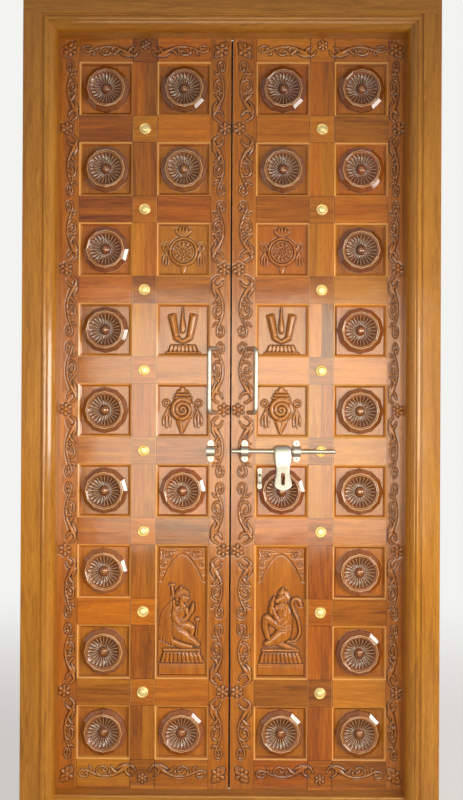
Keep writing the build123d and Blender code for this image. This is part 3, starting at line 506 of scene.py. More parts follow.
class Relief:
    """Carved height over a rectangle, in millimetres above its plain face.

    Forms are drawn in units, which are given in millimetres.
    """

    def __init__(self, u0, u1, v0, v1, step, unit=1.0):
        self.u = np.linspace(u0, u1, int(round((u1 - u0) / step)) + 1)
        self.v = np.linspace(v0, v1, int(round((v1 - v0) / step)) + 1)
        self.unit = unit
        shape = (len(self.v), len(self.u))
        self.up = np.zeros(shape)
        self.edge = np.full(shape, FAR)

    def window(self, points, reach):
        """The part of the grid round some points, and its coordinates."""
        low, high = points[:, :2].min(axis=0) - reach, points[:, :2].max(axis=0) + reach
        i0, i1 = np.searchsorted(self.u, [low[0], high[0]])
        j0, j1 = np.searchsorted(self.v, [low[1], high[1]])
        win = slice(j0, j1 + 1), slice(i0, i1 + 1)
        return win, *np.meshgrid(self.u[win[1]], self.v[win[0]])

    def stroke(self, stations, height, vein=0.0, over=False):
        """Rounded ribbon along a smooth line of (u, v, radius) stations, with a cut line round it."""
        line = smooth_line([[part * self.unit for part in station] for station in stations])
        win, uu, vv = self.window(line, float(line[:, 2].max()) + STROKE_REACH)
        if uu.size == 0:
            return
        dist = np.full(uu.shape, FAR)
        rise = np.zeros(uu.shape)
        for a, b in zip(line[:-1], line[1:]):
            gap, t = to_segment(uu, vv, a[:2], b[:2])
            radius = np.maximum(a[2] + (b[2] - a[2]) * t, 1e-3)
            across = gap / radius
            dome = height * np.clip(1 - across**2, 0, None) ** 0.5
            rise = np.maximum(rise, dome * (1 - vein * np.exp(-((across / VEIN_W) ** 2))))
            dist = np.minimum(dist, gap - radius)
        self.lay(win, dist, rise, over)

    def plate(self, outline, height, soft=2.5):
        """Flat raised plate with a rounded edge, inside a closed outline."""
        pts = np.array(outline, float) * self.unit
        win, uu, vv = self.window(pts, STROKE_REACH)
        gap = np.full(uu.shape, FAR)
        inside = np.zeros(uu.shape, bool)
        for a, b in zip(pts, np.roll(pts, -1, axis=0)):
            gap = np.minimum(gap, to_segment(uu, vv, a, b)[0])
            if a[1] != b[1]:
                crossing = (a[1] > vv) != (b[1] > vv)
                inside ^= crossing & (uu < a[0] + (vv - a[1]) * (b[0] - a[0]) / (b[1] - a[1]))
        dist = np.where(inside, -gap, gap)
        rise = np.where(inside, height * np.sin(np.clip(gap / soft, 0, 1) * np.pi / 2), 0)
        self.lay(win, dist, rise, False)

    def lay(self, win, dist, rise, over):
        """Put a form on what is there already, and cut a fine line round it."""
        was = self.up[win]
        trench = TRENCH_D * np.exp(-((np.clip(dist, 0, None) / TRENCH_W) ** 2))
        around = np.where(was > 0, np.maximum(was - trench, 0), was)
        top = was + rise if over else np.maximum(was, rise)
        self.up[win] = np.where(dist < 0, top, around)
        self.edge[win] = np.minimum(self.edge[win], dist)

    def bead(self, u, v, radius, height, over=False):
        self.stroke([(u, v, radius), (u + BEAD_RUN, v, radius)], height, over=over)

    def ring(self, u, v, radius, width, height, over=False):
        turn = circle_points(radius, RING_POINTS)
        self.stroke([(u + a, v + b, width) for a, b in turn + turn[:1]], height, over=over)

    def spiral(self, u, v, start, end, turns, width, height, phase=0.0):
        """Curl laid on, which winds in from one radius to another and narrows as it goes."""
        count = max(12, int(abs(turns) * CURL_POINTS))
        line = []
        for i in range(count + 1):
            t = i / count
            a = phase + 2 * math.pi * turns * t
            r = start + (end - start) * t
            line.append((u + r * math.cos(a), v + r * math.sin(a), width * (1 - CURL_THINNING * t)))
        self.stroke(line, height, over=True)

    def petals(self, u, v, inner, outer, width, count, height, start=0.0, **kw):
        for i in range(count):
            a = start + 2 * math.pi * i / count
            c, s = math.cos(a), math.sin(a)
            middle = inner + (outer - inner) * PETAL_WIDEST
            line = [(inner, width * PETAL_TIP), (middle, width), (outer, width * PETAL_TIP)]
            self.stroke([(u + r * c, v + r * s, w) for r, w in line], height, **kw)

    def heights(self, groove_w=3.0, groove_d=1.6, border=2.0):
        """Raised forms with a cut line round them, down to the plain face at the rectangle's border."""
        outside = np.clip(self.edge, 0, None)
        ground = -groove_d * np.exp(-((outside / groove_w) ** 2) * 2.0)
        du = np.minimum(self.u - self.u[0], self.u[-1] - self.u)[None, :]
        dv = np.minimum(self.v - self.v[0], self.v[-1] - self.v)[:, None]
        fade = np.clip(np.minimum(du, dv) / border, 0, 1)
        return np.where(self.edge < 0, self.up, ground) * fade

    def surface(self, heights, plain_y, sign=1, x=0.0, z=0.0):
        """Vertices, in metres, and faces of the carved face, whose plain part lies at plain_y."""
        uu, vv = np.meshgrid(self.u, self.v)
        points = np.stack([x + uu * sign, plain_y - heights, z + vv], axis=-1) * MM
        index = np.arange(uu.size).reshape(uu.shape)
        corners = [index[:-1, :-1], index[:-1, 1:], index[1:, 1:], index[1:, :-1]]
        return points.reshape(-1, 3), np.stack(corners, axis=-1).reshape(-1, 4)


def carving_tone(heights, hollow, crest):
    """How far each point lies below its surroundings, and above them, both from 0 to 1: the strength of the
    painted shade and of the painted highlight.
    """
    reach = BLUR_REACH
    wide = 2 * reach + 1
    blurred = heights.copy()
    for _ in range(BLUR_TIMES):
        for axis in (0, 1):
            padded = np.pad(blurred, [(reach, reach) if a == axis else (0, 0) for a in (0, 1)], mode="edge")
            n = blurred.shape[axis]
            blurred = sum(np.take(padded, range(k, k + n), axis=axis) for k in range(wide)) / wide
    raised = heights - blurred
    return np.clip(-raised * hollow, 0, 1), np.clip(raised * crest, 0, CREST_MOST)


def band(low, high, count):
    """Faces between two rings of vertices, which start at low and high."""
    after = [(i + 1) % count for i in range(count)]
    return [(low + i, low + j, high + j, high + i) for i, j in enumerate(after)]


def ring_faces(count, around, tips=False):
    """Faces of a closed body of rings, ended flat or by a tip and a foot that come after the rings."""
    last = (count - 1) * around
    faces = []
    for low in range(0, last, around):
        faces += band(low, low + around, around)
    if not tips:
        return faces + [range(around - 1, -1, -1), range(last, last + around)]
    for i in range(around):
        j = (i + 1) % around
        faces += [(last + i, last + j, last + around), (i, last + around + 1, j)]
    return faces


def turned_copies(verts, faces, places):
    """Mesh of turned copies at (x, y, z, degrees) places, from millimetres to metres."""
    a, b, d = np.array(verts).T
    all_v, all_f = [], []
    for x, y, z, turn in places:
        c, s = math.cos(math.radians(turn)), math.sin(math.radians(turn))
        base = len(verts) * len(all_v)
        all_v.append(np.stack([x + (a * c - d * s), y + b, z + (a * s + d * c)], axis=-1) * MM)
        all_f += [tuple(i + base for i in f) for f in faces]
    return np.vstack(all_v), all_f


def face_outward(mesh):
    """Turn every face of a closed mesh outward."""
    bm = bmesh.new()
    bm.from_mesh(mesh)
    bmesh.ops.recalc_face_normals(bm, faces=bm.faces)
    bm.to_mesh(mesh)
    bm.free()


def make_object(name, verts, faces, material, tone=None, smooth=0):
    """Mesh object; tone has the hollow and crest values of its first vertices, and smooth is how
    many of its first faces are shaded smooth."""
    mesh = bpy.data.meshes.new(name)
    mesh.from_pydata([tuple(v) for v in verts], [], [tuple(int(i) for i in f) for f in faces])
    if tone is not None:
        for key, values in zip(("hollow", "crest", "carved"), (*tone, np.ones(tone[0].size))):
            full = np.zeros(len(verts), np.float32)
            full[: values.size] = values.reshape(-1)
            mesh.attributes.new(key, "FLOAT", "POINT").data.foreach_set("value", full)
    mesh.materials.append(material)
    mesh.polygons.foreach_set("use_smooth", [i < smooth for i in range(len(faces))])
    mesh.update()
    return in_scene(name, mesh)


def on_leaf(obj, side):
    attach(obj, f"{side}_leaf")


def carved_face(side, name, relief, material):
    """A CAD node's own mesh with its plain front face exchanged for a carved one."""
    node = f"{side}_{name}"
    sign = SIDES[side]
    bm = bmesh.new()
    bm.from_mesh(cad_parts[node].data)
    bmesh.ops.remove_doubles(bm, verts=bm.verts, dist=WELD)
    x0, x1 = sorted(u * MM * sign for u in (relief.u[0], relief.u[-1]))
    box = ((x0, x1), (LEAF_Y * MM, LEAF_Y * MM), (relief.v[0] * MM, relief.v[-1] * MM))

    def in_front(vert):
        return all(low - SLACK < c < high + SLACK for c, (low, high) in zip(vert.co, box))

    gone = [f for f in bm.faces if all(in_front(v) for v in f.verts)]
    bmesh.ops.delete(bm, geom=gone, context="FACES")
    bm.verts.index_update()
    rest_v = np.array([v.co for v in bm.verts])
    rest_f = [[v.index for v in f.verts] for f in bm.faces]
    bm.free()
    heights = relief.heights()
    verts, quads = relief.surface(heights, LEAF_Y, sign)
    if sign < 0:
        quads = quads[:, ::-1]
    faces = list(quads) + [[i + len(verts) for i in f] for f in rest_f]
    tone = carving_tone(heights, *FACE_TONE)
    obj = make_object(f"{node}_carved", np.vstack([verts, rest_v]), faces, material, tone, len(quads))
    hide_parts(node)
    on_leaf(obj, side)


# Vine ornament. One half unit runs up from its flower, in photograph pixels of PX millimetres.

PX = 3.0
STILE_STEP = 2.0
FLOWER_COUNT = 5
FLOWER_PITCH = 422.6
FLOWER_FIRST_Z = 385.0
FLOWER_R = 17.0
FLOWER_OUT = 2.0
CORNER_FLOWERS_Z = (136.0, 2311.0)
CORNER_R = 19.0
BUD_R, BUD_U, BUD_V = 8.0, 13, 17
FLOWER_INSET, NARROW_INSET, NARROW_ROOM = 17.0, 13.0, 55
RAIL_FLOWER_R = 14.0
VINE_W = 14.8
VINE_MARGIN = 6.0
STILE_STRETCH, RAIL_STRETCH = 0.985, 0.93
# How far the end rails' vines start from the sight line, and what they leave free in all
TOP_START, TOP_FREE = 18, 34
BOTTOM_START, BOTTOM_FREE = 30, 46

# Height, vein and the stations across, along and radius of each ribbon
VINE_RIBBONS = (
    (2.2, 0.0, (7.4, 7.2, 0.6), (10.4, 8.6, 0.9), (13.2, 11, 1.0), (14.2, 14.6, 1.1), (12, 19, 1.3),
     (8, 23.5, 1.3), (5, 28, 1.05), (3, 33, 0.85), (2.3, 39, 0.75), (2.7, 45.5, 0.7),
     (4.6, 51.5, 0.7), (7.2, 57, 0.7), (8.8, 61.5, 0.7), (8.2, 66, 0.7), (5.2, 68, 0.65),
     (2.2, 66, 0.6), (1.4, 61.8, 0.6), (3.2, 58.4, 0.55), (5.6, 59.6, 0.7), (4.6, 61.6, 0.8)),
    (3.4, 0.45, (14.6, 11.6, 0.4), (12.6, 17, 1.7), (8.8, 22.4, 1.8), (4.4, 29, 0.3)),
    (3.0, 0.4, (15.0, 16.5, 0.4), (13.6, 21.5, 1.3), (10.2, 28.2, 0.3)),
    (2.6, 0.3, (12.4, 17.4, 0.7), (8, 17.8, 1.2), (4.6, 15.8, 0.9), (2.4, 11.6, 0.3)),
    (2.1, 0.0, (2.8, 45, 0.5), (5.6, 48.8, 0.75), (9.6, 48.8, 0.75), (12.6, 45, 0.7),
     (12.4, 40, 0.65), (9.4, 37.6, 0.6), (7.2, 40.2, 0.6), (9.0, 42.6, 0.9)),
    (2.6, 0.35, (6, 26.5, 0.4), (8.6, 31, 1.2), (13.4, 34.4, 0.25)),
    (2.2, 0.0, (3.2, 34, 0.4), (6.2, 36.2, 0.9), (8.4, 34.6, 0.3)),
    (2.2, 0.3, (6.4, 56, 0.4), (10.6, 55, 0.9), (13.4, 57.6, 0.3)),
)


def flower(relief, u, v, radius, height=2.4):
    relief.petals(u, v, radius * 0.4, radius, radius * 0.30, 6, height, 0.5, vein=0.35)
    relief.bead(u, v, radius * 0.34, height * 1.2)


def vine_half(relief, flip, start, away, middle, ku, kv, upright=True):
    """Scrolling stem from a flower: blades, a hook, a side curl and the end curl."""
    for height, vein, *stations in VINE_RIBBONS:
        line = []
        for u, v, r in stations:
            across, along = start + away * u * PX * ku, middle + v * PX * kv * flip
            line.append((across, along, r * PX) if upright else (along, across, r * PX))
        relief.stroke(line, height, vein)


def carve_stile(side, name, material):
    """Vine up the full height of a stile, its flowers near the stile's outer edge."""
    if name == "hinge_stile":
        low, high = -EDGE_X, -EDGE_X + HINGE_STILE_W[side]
        start, away = -SIGHT_X, 1
        room = high - start
    else:
        low, high = -MEETING_X - MEETING_STILE_W[side], -MEETING_X
        start, away = high, -1
        room = start - low
    relief = Relief(low, high, *LEAF_Z, STILE_STEP)
    inset = FLOWER_INSET if room > NARROW_ROOM else NARROW_INSET
    ku = min(1.0, (room - inset - VINE_MARGIN) / (VINE_W * PX))
    for k in range(FLOWER_COUNT):
        z = FLOWER_FIRST_Z + FLOWER_PITCH * k
        flower(relief, start + away * inset + away * FLOWER_OUT, z, FLOWER_R)
        for flip in (-1, 1):
            vine_half(relief, flip, start + away * inset, away, z, ku, STILE_STRETCH)
    for z in CORNER_FLOWERS_Z:
        middle = start + away * room / 2
        flower(relief, middle, z, CORNER_R)
        for s in (-1, 1):
            flower(relief, middle + s * BUD_U, z + s * BUD_V, BUD_R, 2.0)
    carved_face(side, name, relief, material)


def carve_end_rail(side, name, material):
    """Vine along the top or bottom rail, both ways from a flower at its middle."""
    outer = -EDGE_X + HINGE_STILE_W[side]
    inner = -MEETING_X - MEETING_STILE_W[side]
    if name == "top_rail":
        rail, seen, away = (LAST_Z, LEAF_Z[1]), SIGHT_Z[1] - LAST_Z, -1
        start, free = SIGHT_Z[1] - TOP_START, TOP_FREE
    else:
        rail, seen, away = (LEAF_Z[0], FIRST_Z), FIRST_Z - SIGHT_Z[0], 1
        start, free = SIGHT_Z[0] + BOTTOM_START, BOTTOM_FREE
    relief = Relief(outer, inner, *rail, STILE_STEP)
    middle = (outer + inner) / 2
    flower(relief, middle, start, RAIL_FLOWER_R)
    ku = (seen - free) / (VINE_W * PX)
    for flip in (-1, 1):
        vine_half(relief, flip, start, away, middle, ku, RAIL_STRETCH, upright=False)
    carved_face(side, name, relief, material)


# Rosettes

ROSETTE_SIDES = 12
ROSETTE_FLUTES = 24
ROSETTE_AROUND = 144
ROSETTE_SEED = {"left": 7, "right": 8}
KNOB_TOP = 19.1
FLUTES_OUT, FLUTES_IN = 45.5, 15.5
FLUTE_D = 4.4
# Painted shade in a ring round the knob, and in the one between the two ridges
KNOB_FOOT = (13.8, 17.0)
VALLEY_R, VALLEY_HALF_W = 52.4, 2.2
# Rings with sharp corners between the flat sides, and rings with sharp rims
FACET_ROWS, FOOT_ROWS = 9, 4
# Painted highlight on the rings at these radii
CRESTS = {55.6: 0.85, 57.2: 0.50, 50.6: 0.65, 2.6: 0.4}
# Radius, height and how far the ring is twelve-sided, from the foot inward
PROFILE = (
    (70.0, 0.0, 1.0), (70.0, 8.4, 1.0), (69.4, 10.3, 1.0), (59.0, 15.7, 1.0), (58.2, 17.8, 1.0),
    (57.2, 20.0, 1.0), (55.6, 20.9, 1.0), (54.0, 20.4, 1.0), (52.9, 18.6, 0.9), (51.9, 18.8, 0.7),
    (50.6, 19.6, 0.5), (49.2, 19.2, 0.3), (47.8, 17.4, 0.1), (45.0, 15.6, 0), (42.6, 14.4, 0),
    (40.4, 13.3, 0), (38.0, 12.2, 0), (34.5, 11.0, 0), (31.0, 10.0, 0), (27.5, 9.2, 0),
    (24.0, 8.6, 0), (20.0, 8.0, 0), (16.0, 7.6, 0), (14.2, 8.0, 0), (13.6, 11.0, 0),
    (12.2, 14.4, 0), (9.4, 17.0, 0), (5.8, 18.6, 0), (2.6, KNOB_TOP, 0),
)


def rosette_points():
    """Polar grid of one rosette: twelve-sided outside, a double ridge, 24 flutes and a knob."""
    angle = np.arange(ROSETTE_AROUND) * 2 * np.pi / ROSETTE_AROUND
    side = 2 * np.pi / ROSETTE_SIDES
    facet = math.cos(side / 2) / np.cos(np.mod(angle, side) - side / 2)
    scoop = np.abs(np.sin(angle * ROSETTE_FLUTES / 2))
    rings, shades, crests = [], [], []
    for r, h, twelve in PROFILE:
        radius = r * (1 - twelve + twelve * facet)
        height = np.full(ROSETTE_AROUND, h)
        shade = np.zeros(ROSETTE_AROUND)
        crest = np.full(ROSETTE_AROUND, CRESTS.get(r, 0.0))
        if FLUTES_IN + 1 < r < FLUTES_OUT:
            rim = FLUTES_OUT - r
            depth = FLUTE_D * min(1.0, rim / 2.6) * min(1.0, (r - FLUTES_IN) / 12.0)
            height = height + depth * (0.45 - scoop**0.55)
            # Painted highlight on the flutes' ridges and painted shade in their troughs
            crest = 0.72 * np.clip(1 - 2.2 * scoop, 0, 1) * min(1.0, rim / 3.0)
            shade = (0.80 * scoop**0.9 - 0.04) * min(1.0, rim / 4.0)
        if KNOB_FOOT[0] < r < KNOB_FOOT[1]:
            shade = shade + 0.6
        shade = shade + 0.35 * max(0.0, 1 - abs(r - VALLEY_R) / VALLEY_HALF_W)
        rings.append(np.stack([radius * np.cos(angle), -height, radius * np.sin(angle)], axis=-1))
        shades.append(np.clip(shade, 0, 1))
        crests.append(crest)
    return np.array(rings), np.array(shades), np.array(crests)


def rosette_mesh():
    rings, shades, crests = rosette_points()
    verts = np.vstack([rings.reshape(-1, 3), [(0.0, -KNOB_TOP, 0.0), (0.0, 0.0, 0.0)]])
    tone = [np.concatenate([t.reshape(-1), [0.0, 0.0]]) for t in (shades, crests)]
    return verts, ring_faces(len(PROFILE), ROSETTE_AROUND, tips=True), tone


def plain_places(side):
    """Every opening that holds a rosette, as (x, z) on its own leaf."""
    outer, inner = columns(side)
    places = [(outer, row_middle(row)) for row in range(ROWS)]
    skip = set(TALL_ROWS) | set(EMBLEM_ROWS)
    places += [(inner, row_middle(row)) for row in range(ROWS) if row not in skip]
    return [(x * SIDES[side], z) for x, z in places]


def carve_rosettes(side, material):
    verts, faces, tone = rosette_mesh()
    rng = np.random.default_rng(ROSETTE_SEED[side])
    places = []
    for x, z in plain_places(side):
        places.append((x, GROUND_Y, z, 360 / ROSETTE_SIDES * int(rng.integers(0, ROSETTE_SIDES))))
    all_v, all_f = turned_copies(verts, faces, places)
    node = f"{side}_rosettes"
    tones = [np.tile(t, len(places)) for t in tone]
    obj = make_object(f"{node}_carved", all_v, all_f, material, tones, len(all_f))
    mark_facets(obj.data, len(verts))
    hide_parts(node)
    on_leaf(obj, side)


def mark_facets(mesh, per_rosette):
    """Keep the twelve flat sides crisp, up to the crest of the ridge."""
    around = ROSETTE_AROUND
    ends = np.zeros(len(mesh.edges) * 2, np.int64)
    mesh.edges.foreach_get("vertices", ends)
    ends = ends.reshape(-1, 2) % per_rosette
    low, high = ends.min(axis=1), ends.max(axis=1)
    radial = (high - low == around) & (high < FACET_ROWS * around)
    corner = (low % around) % (around // ROSETTE_SIDES) == 0
    sharp = (radial & corner) | ((high - low != around) & (high < FOOT_ROWS * around))
    mesh.attributes.new("sharp_edge", "BOOLEAN", "EDGE").data.foreach_set("value", sharp)


# Emblems and figures. They are drawn in units of 3 mm from the middle of their board.

UNIT = 3.0
BOARD_STEP = 1.3
BOARD_HALF_W, BOARD_HALF_H = 70.5, 71.0
TALL_HALF_H = 191.75
# Width and depth of the cut line round the forms, and the plain border
BOARD_GROOVE = (2.4, 0.9, 1.5)


def wheel_emblem(relief):
    """Discus wheel on a stem, with a flaming crown and ribbons."""
    cu, cv = -0.5, -1.5
    relief.stroke([(cu, -15, 3.4), (cu, -19, 2.6), (cu, -23, 1.3)], 3.2)
    relief.plate([(-4, 11), (3, 11), (2.2, 14.5), (-3.2, 14.5)], 3.2)
    for lean in (-2, -1, 0, 1, 2):
        line = [(cu + 0.6 * lean, 13.5, 1.2), (cu + 3.1 * lean, 18.4, 1.7)]
        line.append((cu + 3.2 * lean, 23.4 - 0.6 * lean**2, 0.6))
        relief.stroke(line, 4.6, vein=0.35)
    relief.plate([(cu + u, cv + v) for u, v in circle_points(14, 40)], 2.2)
    relief.ring(cu, cv, 13.4, 1.3, 3.4, over=True)
    relief.ring(cu, cv, 10.4, 0.7, 2.4, over=True)
    relief.petals(cu, cv, 5.4, 9.7, 1.25, 12, 2.8, over=True)
    relief.ring(cu, cv, 4.8, 0.6, 2.4, over=True)
    relief.petals(cu, cv, 1.4, 4.2, 0.8, 8, 2.6, 0.3, over=True)
    relief.bead(cu, cv, 1.5, 3.4, over=True)
    for s in (-1, 1):
        loop = [(14, 0, 0.8), (17, 5.6, 1.0), (20.2, 4.4, 1.0), (19.6, 0.8, 0.9), (17, -2.2, 0.9)]
        relief.stroke([(cu + s * u, v, r) for u, v, r in loop], 3.4)
        for u, v in ((20.4, -13.5), (17.8, -15.8), (15.0, -14.6)):
            tassel = [(17, -1.8, 0.7), (u - 0.3, -8, 1.0), (u, v, 0.6)]
            relief.stroke([(cu + s * x, z, r) for x, z, r in tassel], 3.0)


def tilak_emblem(relief):
    """Two upright arms joined below, a tear between them and a lotus foot."""
    relief.plate([(-15.8, 15.6), (-8.2, 17.2), (-4.2, -6.6), (-10.2, -8.6)], 6.8, soft=10)
    relief.plate([(6.6, 17.2), (14.2, 15.6), (9.0, -8.6), (3.0, -6.6)], 6.8, soft=10)
    relief.stroke([(-7, -7.5, 2.6), (-0.8, -11, 2.0), (6, -7.5, 2.6)], 6.0)
    relief.stroke([(-0.8, 25, 0.4), (-1, 13, 1.4), (-0.9, 3, 2.9), (-0.9, -0.5, 2.2)], 6.6)
    relief.plate([(-16, -22), (15, -22), (12, -14.5), (-13, -14.5)], 3.0)
    for i in range(7):
        u = -12.9 + 4.1 * i
        petal = [(u, -20.6, 1.5), (u * 0.94, -18.0, 2.0), (u * 0.88, -15.4, 0.9)]
        relief.stroke(petal, 2.4, vein=0.4, over=True)
    relief.stroke([(-17, -22.8, 1.2), (16, -22.8, 1.2)], 4.6)


def conch_emblem(relief):
    """Conch seen on its coil, with a tiered cap, a point below and tasselled loops."""
    cu = -0.8
    relief.stroke([(cu, -10, 6.5), (cu - 0.4, -17, 3.6), (cu - 0.8, -23.4, 0.7)], 4.8)
    relief.stroke([(cu + 1.6, -11, 0.7), (cu + 0.2, -21, 0.5)], 1.4, over=True)
    relief.plate([(-9, 11), (8, 11), (5.6, 17), (-7, 17)], 3.6, soft=6)
    for half, v in ((8.2, 12.6), (6.6, 15.8), (4.8, 18.8)):
        relief.stroke([(cu - half, v, 1.3), (cu + half, v, 1.3)], 4.8)
    relief.stroke([(cu, 20.5, 3.6), (cu, 23, 1.8)], 4.8)
    relief.bead(cu, 1.2, 12.6, 4.2)
    relief.spiral(cu, 0.6, 11.2, 1.3, 2.35, 2.3, 4.2, 0.9)
    for s in (-1, 1):
        relief.ring(cu + s * 16.4, 7.4, 2.9, 0.9, 3.4)
        relief.stroke([(cu + s * 13, 3.6, 1.1), (cu + s * 15.4, 0.2, 1.2)], 3.2)
        for u, v in ((19.0, -14.6), (16.0, -16.8), (12.8, -15.8)):
            tassel = [(15.4, 0, 0.8), (u - 0.2, -8, 1.2), (u, v, 0.7)]
            relief.stroke([(cu + s * x, z, r) for x, z, r in tassel], 3.0)


def shrine(relief):
    """Cusped arch with scrolled corners above, and a lotus seat on a plinth below."""
    half = [(0, 57.5), (5, 55.5), (10, 50), (15, 43), (18.6, 35), (20.6, 30.4), (23.4, 29.6)]
    line = [(-u, v) for u, v in reversed(half[1:])] + half
    relief.plate(line + [(23.4, 63.8), (-23.4, 63.8)], 2.6)
    for s in (-1, 1):
        relief.spiral(s * 14.6, 56.6, 4.4, 0.8, 1.6, 0.9, 1.8, 0.6 if s > 0 else 2.5)
        relief.spiral(s * 19.4, 47.4, 3.2, 0.7, -1.5, 0.8, 1.8, 1.2 if s > 0 else 1.9)
        relief.spiral(s * 20.6, 38.2, 2.3, 0.5, 1.3, 0.7, 1.6)
        leaf = [(s * 5.6, 59.8, 0.6), (s * 9.6, 60.8, 1.3), (s * 20.6, 61.2, 0.7)]
        relief.stroke(leaf, 1.8, vein=0.3, over=True)
        relief.stroke([(s * 20.6, 54.6, 1.1), (s * 22.0, 60, 0.5)], 1.6, over=True)
    relief.plate([(-23.4, -63.8), (23.4, -63.8), (23.4, -53), (-23.4, -53)], 3.6)
    relief.stroke([(-22.6, -53, 1.0), (22.6, -53, 1.0)], 5.0)
    relief.plate([(-22.4, -52), (22.4, -52), (17.4, -40), (-18.4, -40)], 4.2, soft=5)
    for i in range(10):
        u = -19.4 + 4.3 * i
        petal = [(u, -50.4, 1.2), (u * 0.94 - 0.6, -46, 1.9), (u * 0.84 - 1.2, -41.6, 0.7)]
        relief.stroke(petal, 2.8, vein=0.25, over=True)
    relief.stroke([(-18, -38.8, 1.5), (17, -38.8, 1.5)], 5.4)


def jewels(relief, arms, band_r, u, v, pitch):
    """Bands round the arms and a string of six beads."""
    for a, b in arms:
        relief.ring(a, b, band_r, 0.5, 1.0, over=True)
    for i in range(6):
        relief.bead(u + pitch * i, v - 0.4 * (2.5 - i) ** 2, 0.9, 1.6, over=True)


def winged_figure(relief):
    """Kneeling winged figure with joined hands, looking right, under a beaded cap."""
    shrine(relief)
    for i in range(6):
        out, down = 24.0 - 2.9 * i, -27.0 - 1.4 * i
        line = [(-8.6, 10 - 2.2 * i, 1.6), (-10 - out * 0.30, -3 - 2 * i, 3.6), (-out, down, 1.3)]
        relief.stroke(line, 3.2 + 0.5 * i, vein=0.3)
    relief.stroke([(15.2, -10, 0.9), (15.0, -16, 0.8), (13.6, -24, 0.8)], 3.6)
    relief.bead(15.0, -8.4, 2.5, 6.4)
    relief.stroke([(-1.2, 2.6, 5.6), (-3, -6, 7.2), (-3.4, -14, 7.6), (-3, -21, 7.8)], 8.0)
    relief.stroke([(-8, -31, 3.2), (-1, -34, 3.4), (9, -35.4, 2.0)], 6.2)
    relief.stroke([(-2, -22, 7.0), (5, -26, 5.6), (11, -30, 3.9), (16, -33.4, 2.2)], 9.2)
    relief.stroke([(-1, -14, 4.6), (6, -14.6, 4.4), (9.6, -18, 3.4), (9.2, -24, 2.2)], 9.0)
    for v in (-12.6, -16.0):
        relief.stroke([(-10, v + 1, 0.7), (-4, v - 1, 0.8), (1, v, 0.6)], 1.0, over=True)
    relief.stroke([(-0.6, 10, 2.8), (-0.4, 6, 2.6)], 7.6)
    relief.stroke([(-8.4, 10, 1.6), (-7.8, 4, 1.8), (-9.4, -1, 1.2)], 6.0, vein=0.3)
    relief.bead(1.4, 13.2, 4.9, 8.8)
    relief.stroke([(5.2, 13.6, 1.4), (6.2, 12.2, 1.0)], 6.8)
    relief.stroke([(2.6, 15.0, 0.5), (4.6, 15.4, 0.4)], 0.9, over=True)
    relief.stroke([(3.0, 10.6, 0.4), (5.0, 10.8, 0.4)], 0.8, over=True)
    relief.stroke([(-9.0, 15.0, 1.5), (-9.8, 21, 1.3), (-10.6, 25.2, 1.2)], 6.2)
    relief.stroke([(-12.0, 26.6, 1.5), (-8.8, 26.0, 1.5)], 7.0)
    relief.stroke([(-4.8, 15.4, 3.6), (-2.0, 19.2, 3.9), (2.8, 18.8, 3.2), (5.6, 16.4, 1.4)], 8.8)
    relief.stroke([(-1.6, 21.8, 2.3), (-1.0, 24.0, 1.2)], 7.6)
    relief.stroke([(-5.4, 17.6, 0.7), (-1.0, 20.6, 0.8), (3.8, 19.8, 0.7)], 1.2, over=True)
    for u, v in ((5.2, 17.6), (2.8, 17.2), (0.2, 16.6), (-2.2, 15.4)):
        relief.bead(u, v, 1.0, 1.6, over=True)
    for u, v, r in ((-5.0, 11.6, 1.9), (-5.2, 8.2, 1.2)):
        relief.bead(u, v, r, 8.2)
    relief.stroke([(-6.0, 2.8, 3.7), (-7.6, -4.8, 3.5), (-3.6, -11.6, 3.0)], 9.6)
    relief.stroke([(-3.4, -11.8, 2.9), (3.0, -8.0, 2.6), (8.0, -1.6, 2.1)], 10.0)
    relief.stroke([(4.0, 1.6, 2.9), (6.0, -2.8, 2.4), (8.6, -0.8, 2.0)], 8.8)
    relief.stroke([(8.4, -1.2, 2.3), (10.0, 3.0, 2.1), (11.0, 7.6, 1.1)], 9.6)
    jewels(relief, ((-6.6, -0.4), (3.4, -7.6)), 1.8, -4.2, 3.6, 1.6)


